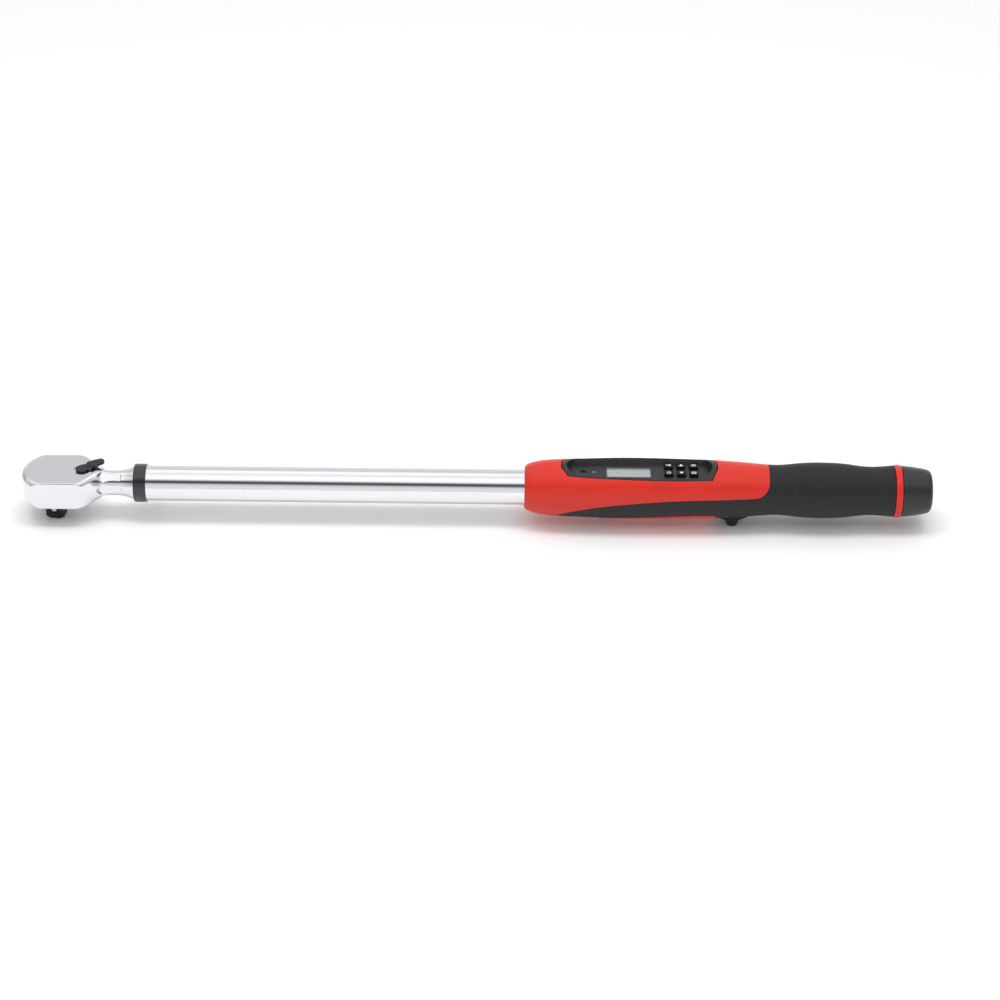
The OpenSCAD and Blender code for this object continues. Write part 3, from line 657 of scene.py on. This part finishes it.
def make_cap_thread():
    """Raised helical thread on the cap's skirt."""
    start, pitch, turns, per_turn = CAP_X - 12.6, 2.0, 3.4, 96
    section = [(-0.75, THREAD_ROOT), (-0.2, 11.93), (0.2, 11.93), (0.75, THREAD_ROOT)]
    loops = []
    for i in range(int(turns * per_turn) + 1):
        a = 2 * math.pi * i / per_turn
        fade = min(1, i / 12, (turns * per_turn - i) / 12)
        loop = []
        for dx, crest in section:
            r = THREAD_ROOT + (crest - THREAD_ROOT) * fade
            loop.append((start + pitch * i / per_turn + dx, -r * math.cos(a), r * math.sin(a)))
        loops.append(loop)
    verts = [p for loop in loops for p in loop]
    n = len(section)
    faces = [
        (i * n + k, i * n + k + 1, (i + 1) * n + k + 1, (i + 1) * n + k)
        for i in range(len(loops) - 1) for k in range(n - 1)
    ]
    link("end_cap_thread", verts, faces, "black_plastic", "cap", sharp=60)


make_shaft()
make_band()
make_cap()

# ---- Housing shells and rubber grip ----

HOUSING_KNOTS = [(336, 14.4), (337, 15.9), (340, 17.4), (345, 18.8), (351, 19.7), (361, 20.4), (378, 20.9),
                 (395, 21.5), (412, 21.8), (430, 21.7), (450, 21.3), (472, 20.8), (490, 19.7), (509.5, 18.1)]
GRIP_KNOTS = [(509.5, 18.1), (516.5, 17.9), (524.4, 18.5), (533.3, 19.4), (544.2, 19.9), (556.2, 19.7),
              (565.1, 19.1), (574, 17.9), (582, 17.3), (590, 17.6), (599, 18.4)]
HANDLE = np.vstack([curve(HOUSING_KNOTS), curve(GRIP_KNOTS)[1:]])
WEDGE_TOP = [(359, -12.9), (366, -9.2), (374, -6.2), (388, -2.6), (404, 0.2), (425, 2.4), (447, 3.8),
             (475, 4.4), (498.5, 4.7), (504, 6), (508, 9.6), (509.5, 14)]
WEDGE_LOW = [(472.5, -22), (472.3, -14), (469.6, -11.4), (450, -11.7), (427.5, -13.4), (408, -15.2),
             (396, -17), (385, -18.5), (372, -18), (364, -15.8), (359, -12.9)]
SPLIT_Z = -13.3
REAR_SPLIT_X, REAR_SPLIT_Z = 385, -9.5
BEZEL_SIDE = [(366.5, 11), (390, 13.1), (420, 14.2), (445, 14.1), (468.9, 13.2)]
BEZEL_ENDS = (361.8, 472.9)
BEZEL_CORNER = 4
UNROLL = 20.5
SKIN_UNDER = 0.03
SKIN_SPACING, SKIN_AROUND = 1.0, 168
SHELL_BEVEL = 0.14
SCREW_X, SCREW_Y = (392, 440), 4.6
WELL_R, SCREW_HEAD_Z = 2.7, -18


def radius_at(x):
    return np.interp(x, HANDLE[:, 0], HANDLE[:, 1])


def unrolled(points):
    """Side-view points (x, z) on the handle's skin, laid flat as (x, distance round it)."""
    p = np.array(points, float)
    ratio = np.clip(p[:, 1] / radius_at(p[:, 0]), -1, 1)
    return np.stack([p[:, 0], np.arcsin(ratio) * UNROLL], 1)


def flat_distance(x, u, outline):
    """Signed distance to a closed outline in the flat, negative inside."""
    shape = x.shape
    p = np.stack([x.ravel(), u.ravel()], 1)
    best = np.full(len(p), 1e9)
    inside = np.zeros(len(p), bool)
    for a, b in zip(outline, np.roll(outline, -1, 0)):
        edge = b - a
        t = np.clip(((p - a) @ edge) / max(edge @ edge, 1e-12), 0, 1)
        best = np.minimum(best, np.hypot(*(p - a - t[:, None] * edge).T))
        crosses = (a[1] > p[:, 1]) != (b[1] > p[:, 1])
        with np.errstate(divide="ignore", invalid="ignore"):
            at = a[0] + (p[:, 1] - a[1]) / (b[1] - a[1]) * edge[0]
        inside ^= crosses & (p[:, 0] < at)
    return np.where(inside, -best, best).reshape(shape)


QUARTER = math.pi / 2 * UNROLL


def rubber_outline():
    top = unrolled(curve(WEDGE_TOP, 6))
    low = unrolled(curve(WEDGE_LOW, 6))
    corner = [(GRIP_X, QUARTER + 5), (640, QUARTER + 5), (640, -QUARTER - 5), (472.5, -QUARTER - 5)]
    return np.vstack([top, corner, low[1:-1]])


def bezel_outline_flat():
    side = curve(BEZEL_SIDE, 6)
    up = np.arccos(side[:, 1] / radius_at(side[:, 0])) * UNROLL
    corner = [math.acos(BEZEL_CORNER / float(radius_at(x))) * UNROLL for x in BEZEL_ENDS]
    return np.vstack([
        np.stack([side[:, 0], up], 1), [(BEZEL_ENDS[1], corner[1]), (BEZEL_ENDS[1], QUARTER + 5)],
        [(BEZEL_ENDS[0], QUARTER + 5), (BEZEL_ENDS[0], corner[0])],
    ])


RUBBER = rubber_outline()
BEZEL_FLAT = bezel_outline_flat()


def stations(x0, x1, spacing):
    """Stations along the handle, evenly spaced on its outline."""
    line = HANDLE[(HANDLE[:, 0] >= x0) & (HANDLE[:, 0] <= x1)]
    run = np.concatenate([[0], np.cumsum(np.hypot(*np.diff(line, axis=0).T))])
    return np.interp(np.linspace(0, run[-1], int(run[-1] / spacing) + 1), run, line[:, 0])


def skin_point(x, theta):
    r = radius_at(x) - SKIN_UNDER
    return np.array([x, -r * math.cos(theta), r * math.sin(theta)])


def patch(name, x0, x1, field, mat, depth=1.6, bevel=0.22):
    """The part of the handle's skin where field is negative, with a rounded rim and a depth."""
    xs = stations(x0, x1, SKIN_SPACING)
    around = SKIN_AROUND
    angles = np.linspace(0, 2 * math.pi, around, endpoint=False)
    height = np.arcsin(np.sin(angles)) * UNROLL
    grid_x, grid_u = np.meshgrid(xs, height, indexing="ij")
    value = field(grid_x, grid_u) + bevel
    verts, faces, made = [], [], {}

    def corner(i, j):
        key = (i, j % around)
        if key not in made:
            made[key] = len(verts)
            verts.append(skin_point(xs[i], angles[j % around]))
        return made[key]

    def crossing(a, b):
        key = tuple(sorted(((a[0], a[1] % around), (b[0], b[1] % around))))
        if key not in made:
            va, vb = value[a[0], a[1] % around], value[b[0], b[1] % around]
            t = min(max(va / (va - vb), 0.02), 0.98)
            x = xs[a[0]] + (xs[b[0]] - xs[a[0]]) * t
            turn = 2 * math.pi / around
            theta = (a[1] + (b[1] - a[1]) * t) * turn
            made[key] = len(verts)
            verts.append(skin_point(x, theta))
        return made[key]

    for i in range(len(xs) - 1):
        for j in range(around):
            ring = [(i, j), (i, j + 1), (i + 1, j + 1), (i + 1, j)]
            signs = [value[a, b % around] < 0 for a, b in ring]
            if all(signs):
                faces.append([corner(*c) for c in ring])
            elif any(signs):
                face = []
                for k in range(4):
                    here, after = ring[k], ring[(k + 1) % 4]
                    if signs[k]:
                        face.append(corner(*here))
                    if signs[k] != signs[(k + 1) % 4]:
                        face.append(crossing(here, after))
                if len(face) > 2:
                    faces.append(face)
    add_rim(verts, faces, depth, bevel, field)
    return link(name, [tuple(v) for v in verts], [tuple(f) for f in faces], mat, sharp=50)


def outward(points):
    flat = points * np.array([0, 1, 1])
    return flat / np.linalg.norm(flat, axis=1, keepdims=True)


def rim_directions(points, field):
    """The way out of the patch along the skin at each point, from the slope of its field."""
    x, theta = points[:, 0], np.arctan2(points[:, 2], -points[:, 1])
    step = 0.02
    turn = step / UNROLL

    def value(x_here, theta_here):
        return field(x_here, np.arcsin(np.sin(theta_here)) * UNROLL)

    along = (value(x + step, theta) - value(x - step, theta)) / (2 * step)
    around = (value(x, theta + turn) - value(x, theta - turn)) / (2 * step)
    rise = radius_at(x + 0.5) - radius_at(x - 0.5)
    radial = outward(points)
    tangent = np.stack([0 * x, np.sin(theta), np.cos(theta)], 1)
    slope = np.stack([np.ones(len(x)), rise * radial[:, 1], rise * radial[:, 2]], 1)
    way = along[:, None] * slope + around[:, None] * tangent
    return way / np.maximum(np.linalg.norm(way, axis=1, keepdims=True), 1e-9)


def add_rim(verts, faces, depth, bevel, field):
    """Rolls the open edges of a skin over a small radius and down by depth."""
    count = {}
    for face in faces:
        for a, b in zip(face, face[1:] + face[:1]):
            count.setdefault((min(a, b), max(a, b)), []).append((a, b))
    rim = [uses[0] for uses in count.values() if len(uses) == 1]
    ends = sorted({v for edge in rim for v in edge})
    points = np.array([verts[v] for v in ends])
    push, radial = rim_directions(points, field), outward(points)
    steps = [(math.sin(t), 1 - math.cos(t)) for t in (math.pi / 6, math.pi / 3, math.pi / 2)]
    previous = {v: v for v in ends}
    for reach, drop in steps + [(1.0, depth / bevel)]:
        new = {v: len(verts) + i for i, v in enumerate(ends)}
        verts.extend(points + push * bevel * reach - radial * bevel * drop)
        for a, b in rim:
            faces.append([previous[b], previous[a], new[a], new[b]])
        previous = new


def make_screw_wells():
    """Walls of the four countersunk holes under the handle."""
    for k, (x, y) in enumerate((x, y) for x in SCREW_X for y in (-SCREW_Y, SCREW_Y)):
        mouth = -math.sqrt(float(radius_at(x)) ** 2 - SCREW_Y ** 2) + 0.25
        rings = [(WELL_R + 0.05, mouth), (WELL_R - 0.05, mouth + 0.4), (WELL_R - 0.1, SCREW_HEAD_Z),
                 (WELL_R - 0.9, SCREW_HEAD_Z + 0.3)]
        loops = [[(a, b, z) for a, b in circle_outline((x, y), r, 32)] for r, z in rings]
        loft(f"screw_well_{k}", loops, "red_plastic", cap_last=False)


def make_handle():
    def split(x, u):
        height = np.where(x > REAR_SPLIT_X, REAR_SPLIT_Z, SPLIT_Z)
        return u - np.arcsin(np.clip(height / radius_at(x), -1, 1)) * UNROLL

    def rubber(x, u):
        return flat_distance(x, u, RUBBER)

    def upper(x, u):
        return np.maximum.reduce([-rubber(x, u), -flat_distance(x, u, BEZEL_FLAT), -split(x, u)])

    def lower(x, u):
        beside = radius_at(x) * np.cos(u / UNROLL) - SCREW_Y
        wells = np.maximum.reduce([WELL_R - np.hypot(x - place, beside) for place in SCREW_X])
        return np.maximum.reduce([-rubber(x, u), split(x, u), wells])

    make_screw_wells()
    front = HOUSING_KNOTS[0][0]
    shell = patch("upper_housing_shell", front, GRIP_X, upper, "red_plastic", bevel=SHELL_BEVEL)
    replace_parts(shell, "upper_housing")
    shell = patch("lower_housing_shell", front, GRIP_X, lower, "red_plastic", bevel=SHELL_BEVEL)
    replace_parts(shell, "lower_housing")
    grip = patch("grip_rubber", 355, BAND_X, rubber, "black_rubber", depth=1.1)
    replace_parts(grip, "grip_overmould")
    nose = rounded([(front + 0.6, 13.4), (front + 0.15, 14.0), (front, 14.4)], 0.3)
    line = [(front + 3, 12.9), (front + 0.9, 12.95)] + nose
    turned("housing_nose_lip", line, "red_plastic", segments=SKIN_AROUND)


make_handle()

# ---- Display bezel and panel ----

BEZEL_MID = 418.1
BEZEL_GAP, BEZEL_UNDER = 0.35, 0.1
RECESS_FLOOR = np.array([0.899, 0.796])
RECESS_TOP = np.array([0.985, 1.05])
RECESS_TOP_Z = 21.9


def bezel_plan(count=360):
    """The bezel's outline seen from above, with its corners softened."""
    side = curve(BEZEL_SIDE, 10)
    points = [(x, -y) for x, y in side]
    points += [(BEZEL_ENDS[1], -BEZEL_CORNER), (BEZEL_ENDS[1], BEZEL_CORNER)]
    points += [(x, y) for x, y in side[::-1]]
    points += [(BEZEL_ENDS[0], BEZEL_CORNER), (BEZEL_ENDS[0], -BEZEL_CORNER)]
    p = np.array(points)
    for _ in range(3):
        after = np.roll(p, -1, 0)
        p = np.stack([0.75 * p + 0.25 * after, 0.25 * p + 0.75 * after], 1).reshape(-1, 2)
    gap = np.linalg.norm(np.roll(p, -1, 0) - p, axis=1)
    run = np.concatenate([[0], np.cumsum(gap)])
    closed = np.vstack([p, p[:1]])
    at = np.linspace(0, run[-1], count, endpoint=False)
    return np.stack([np.interp(at, run, closed[:, 0]), np.interp(at, run, closed[:, 1])], 1)


def inset(plan, distance):
    """The closed plan moved inwards."""
    along = np.roll(plan, -1, 0) - np.roll(plan, 1, 0)
    along /= np.linalg.norm(along, axis=1, keepdims=True)
    inward = np.stack([-along[:, 1], along[:, 0]], 1)
    return plan + inward * distance


def skin_height(plan):
    r = radius_at(plan[:, 0])
    return np.sqrt(np.maximum(r ** 2 - plan[:, 1] ** 2, 0))


def recess_at(plan, t):
    """The sloping wall's plan at the fraction t (0 at the floor) of its full height."""
    scale = RECESS_FLOOR + (RECESS_TOP - RECESS_FLOOR) * np.asarray(t).reshape(-1, 1)
    middle = np.array([BEZEL_MID, 0])
    return middle + (plan - middle) * scale


def make_bezel():
    plan = bezel_plan()
    meet = np.full(len(plan), 0.5)
    for _ in range(40):
        here = recess_at(plan, meet)
        meet = 0.5 * meet + 0.5 * (skin_height(here) - PANEL_Z) / (RECESS_TOP_Z - PANEL_Z)

    def on_skin(p, drop):
        return np.column_stack([p, skin_height(p) - BEZEL_UNDER - drop])

    floor = recess_at(plan, np.full(len(plan), -0.02))
    from_end = np.minimum(plan[:, 0] - BEZEL_ENDS[0], BEZEL_ENDS[1] - plan[:, 0])
    steep = np.clip(1 - (from_end - 3.5) / 5, 0, 1)
    steep = 0.55 * steep * steep * (3 - 2 * steep)
    crest = recess_at(plan, meet)
    crest = crest + (floor - crest) * steep[:, None]
    outer = inset(plan, BEZEL_GAP)
    across = crest - outer
    height = skin_height(crest) - BEZEL_UNDER
    loops = [
        np.column_stack([outer, np.full(len(plan), 11.0)]), on_skin(outer, 0.75), on_skin(outer, 0.35),
        on_skin(outer + across * 0.05, 0.10), on_skin(outer + across * 0.16, 0.0),
        on_skin(outer + across * 0.82, 0.0), on_skin(outer + across * 0.95, 0.08), on_skin(crest, 0.35),
    ]
    for share, sag in ((0.12, 0.25), (0.5, 0.1), (0.88, 0.0), (0.96, 0.0), (1.0, 0.0)):
        p = crest + (floor - crest) * share
        z = height + (PANEL_Z - height) * min(1, share * 1.03) - sag
        loops.append(np.column_stack([p, np.maximum(z, PANEL_Z + 0.02)]))
    bezel = loft("display_bezel_frame", loops, "black_plastic", cap_last=False, sharp=45)
    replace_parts(bezel, "display_bezel")
    make_panel(plan)


def rounded_box_outline(centre, half, radius, steps=6):
    points = []
    for sx, sy, start in ((1, 1, 0), (-1, 1, 90), (-1, -1, 180), (1, -1, 270)):
        for s in range(steps + 1):
            a = math.radians(start + 90 * s / steps)
            points.append((centre[0] + sx * (half[0] - radius) + radius * math.cos(a),
                           centre[1] + sy * (half[1] - radius) + radius * math.sin(a)))
    return points


def plate(name, outlines, z_top, thickness, mat, bevel=0.1, body="wrench"):
    """A flat plate with holes and rounded edges: the first outline is the outside."""
    data = bpy.data.curves.new(name, "CURVE")
    data.dimensions = "2D"
    data.fill_mode = "BOTH"
    data.extrude = (thickness / 2 - bevel) * MM
    data.bevel_depth = bevel * MM
    data.bevel_resolution = 2
    for outline in outlines:
        spline = data.splines.new("POLY")
        spline.points.add(len(outline) - 1)
        spline.use_cyclic_u = True
        for point, (x, y) in zip(spline.points, outline):
            point.co = (x * MM, y * MM, 0, 1)
    source = bpy.data.objects.new(name + "_curve", data)
    mesh = bpy.data.meshes.new_from_object(source)
    bpy.data.objects.remove(source)
    mesh.name = name
    for vertex in mesh.vertices:
        vertex.co.z += (z_top - thickness / 2 + AXIS_Z) * MM
    mesh.shade_smooth()
    mesh.set_sharp_from_angle(angle=math.radians(40))
    mesh.materials.clear()
    mesh.materials.append(MATS[mat])
    piece = bpy.data.objects.new(name, mesh)
    bpy.context.scene.collection.objects.link(piece)
    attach(piece, body)
    return piece


KEYS = ["key_power", "key_units", "key_down", "key_up", "key_memory", "key_set"]


def key_place(node):
    low, high = box_mm(node)
    return (low[0] + high[0]) / 2, (low[1] + high[1]) / 2, high[2] - AXIS_Z


KEY_HALF = (3.25, 2.45)
KEY_GAP = 0.14
SOUNDER, SOUNDER_R = (377.7, 0), 2.2
GRILLE_R, GRILLE_RING_R, GRILLE_HOLE_R = 2.19, 1.15, 0.28
LED_R = 0.8
LIGHT_MARK = (385.2, 0.1)


def make_panel(plan):
    floor = [tuple(p) for p in recess_at(plan, np.full(len(plan), 0.012))]
    low, high = box_mm("lcd_window")
    window = ((low[0] + high[0]) / 2, (low[1] + high[1]) / 2)
    half = ((high[0] - low[0]) / 2, (high[1] - low[1]) / 2)
    holes = [rounded_box_outline(window, (half[0] - 0.02, half[1] - 0.02), 0.5)]
    for node in KEYS:
        x, y, _ = key_place(node)
        holes.append(rounded_box_outline((x, y), (KEY_HALF[0] + KEY_GAP, KEY_HALF[1] + KEY_GAP), 1.1))
    led_low, led_high = box_mm("indicator_led")
    led = ((led_low[0] + led_high[0]) / 2, 0)
    holes += [circle_outline(SOUNDER, SOUNDER_R), circle_outline(led, LED_R, 24)]
    plate("display_panel", [floor] + holes, PANEL_Z, 1.3, "black_plastic", 0.12)
    make_sounder_grille(SOUNDER)
    # Dark surround round the LCD's viewing area: a real narrow frame, with the viewing area shifted to -Y so
    # the strip along the far (+Y) edge is wider (1.4 mm against 0.5 mm) as painted shade for the bezel's
    # shadow
    view = rounded_box_outline((window[0], window[1] - 0.45), (half[0] - 0.5, half[1] - 0.95), 0.3)
    edge = rounded_box_outline(window, (half[0] - 0.05, half[1] - 0.05), 0.5)
    plate("lcd_surround_and_painted_shade", [edge, view], PANEL_Z - 0.54, 0.08, "lcd_border_and_painted_shade", 0.01)
    mark_icon(LIGHT_MARK)


def make_sounder_grille(centre):
    """Perforated disc under the round opening in the panel."""
    holes = [circle_outline(centre, GRILLE_HOLE_R, 12)]
    for k in range(6):
        a = math.radians(60 * k)
        place = (centre[0] + GRILLE_RING_R * math.cos(a), centre[1] + GRILLE_RING_R * math.sin(a))
        holes.append(circle_outline(place, GRILLE_HOLE_R, 12))
    disc = [circle_outline(centre, GRILLE_R)] + holes
    plate("sounder_grille", disc, PANEL_Z - 0.9, 0.4, "black_plastic", 0.05)


def mark_icon(centre):
    """Small generic light mark beside the indicator: a ring with a dot."""
    x, y = centre
    plate("indicator_mark_ring", [circle_outline(centre, 1.15, 32), circle_outline(centre, 0.72, 32)],
          PANEL_Z + 0.03, 0.08, "symbol_grey", 0.01)
    plate("indicator_mark_dot", [circle_outline((x, y), 0.38, 20)], PANEL_Z + 0.03, 0.08,
          "symbol_grey", 0.01)


def make_key(node):
    x, y, top = key_place(node)
    loops = []
    profile = [(0.0, 10.9), (0.0, top - 1.0), (0.05, top - 0.55), (0.2, top - 0.22), (0.5, top - 0.06),
               (0.95, top)]
    for pull, z in profile:
        half = (KEY_HALF[0] - pull, KEY_HALF[1] - pull)
        outline = rounded_box_outline((x, y), half, max(1.0 - pull * 0.4, 0.4))
        loops.append([(a, b, z) for a, b in outline])
    inner = rounded_box_outline((x, y), (KEY_HALF[0] - 1.6, KEY_HALF[1] - 1.6), 0.4)
    loops.append([(a, b, top - 0.06) for a, b in inner])
    cap = loft(node + "_cap_top", loops, "key_black", node + "_cap", cap_first=True, sharp=60)
    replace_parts(cap, node)
    return x, y, top


def symbol_outlines(node, x, y):
    """Generic symbol for each key, as lists of outlines; each inner list is one mark."""
    def arc(radius, width, start, end, steps=28):
        outer = [(x + (radius + width) * math.sin(math.radians(start + (end - start) * k / steps)),
                  y + (radius + width) * math.cos(math.radians(start + (end - start) * k / steps)))
                 for k in range(steps + 1)]
        inner = [(x + radius * math.sin(math.radians(end - (end - start) * k / steps)),
                  y + radius * math.cos(math.radians(end - (end - start) * k / steps)))
                 for k in range(steps + 1)]
        return outer + inner

    def bar(x0, y0, x1, y1):
        return [(x + x0, y + y0), (x + x1, y + y0), (x + x1, y + y1), (x + x0, y + y1)]

    def triangle(tip, base, width):
        return [(x, y + tip), (x - width, y + base), (x + width, y + base)]

    return {
        "key_power": [[arc(1.05, 0.38, 40, 320)], [bar(-0.2, 0.3, 0.2, 1.6)]],
        "key_up": [[triangle(1.25, -0.95, 1.5)]],
        "key_down": [[triangle(-1.25, 0.95, 1.5)]],
        "key_set": [[bar(-1.6, 0.35, 1.6, 0.85)], [bar(-1.6, -0.85, 1.6, -0.35)]],
        "key_units": [[bar(-1.9, -0.25, 0.3, 0.35)],
                      [[(x + 0.3, y + 1.1), (x + 0.3, y - 1.0), (x + 2.0, y + 0.05)]]],
        "key_memory": [[bar(-1.5, -1.1, 1.5, 1.1), bar(-1.0, -0.6, 1.0, 0.6)]],
    }[node]


def make_keys():
    for node in KEYS:
        x, y, top = make_key(node)
        for k, outlines in enumerate(symbol_outlines(node, x, y)):
            plate(f"{node}_symbol_{k}", outlines, top + 0.015, 0.1, "symbol_white", 0.01, node + "_cap")


make_bezel()
make_keys()

# ---- Foot ----

FOOT_X = (481.6, 488.6)


def make_foot():
    bottom = -AXIS_Z
    levels = [
        (FOOT_X[0] - 9.2, FOOT_X[1] + 8.0, 9.4, -17.6), (FOOT_X[0] - 7.6, FOOT_X[1] + 5.8, 8.6, -19.4),
        (FOOT_X[0] - 4.4, FOOT_X[1] + 3.6, 8.1, -20.8), (FOOT_X[0] - 2.0, FOOT_X[1] + 1.8, 7.8, -22.4),
        (FOOT_X[0] - 0.9, FOOT_X[1] + 0.8, 7.6, -24.2), (FOOT_X[0] - 0.4, FOOT_X[1] + 0.4, 7.4, -25.8),
        (FOOT_X[0] - 0.05, FOOT_X[1] + 0.05, 7.2, -26.7),
        (FOOT_X[0] + 0.3, FOOT_X[1] - 0.3, 6.9, bottom + 0.1),
        (FOOT_X[0] + 1.0, FOOT_X[1] - 1.0, 6.2, bottom),
    ]
    loops = []
    for x0, x1, half, z in curve(levels, 3):
        half_x = (x1 - x0) / 2
        outline = rounded_box_outline(((x0 + x1) / 2, 0), (half_x, half), min(2.4, half_x - 0.2), 8)
        loops.append([(a, b, z) for a, b in reversed(outline)])
    foot = loft("rest_foot_peg", loops, "black_rubber", sharp=60)
    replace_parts(foot, "rest_foot")


make_foot()


EDGE_WIDTH, EDGE_ANGLE = 0.12, 50


def soften_node(name):
    """Rounds the sharp edges of a CAD node that is shown as it is."""
    bevel = NODES[name].modifiers.new("edge", "BEVEL")
    bevel.width = EDGE_WIDTH * MM
    bevel.segments = 2
    bevel.limit_method = "ANGLE"
    bevel.angle_limit = math.radians(EDGE_ANGLE)
    bevel.harden_normals = True


for shown in ("cover_plate", "snap_ring", "lever_clip"):
    soften_node(shown)
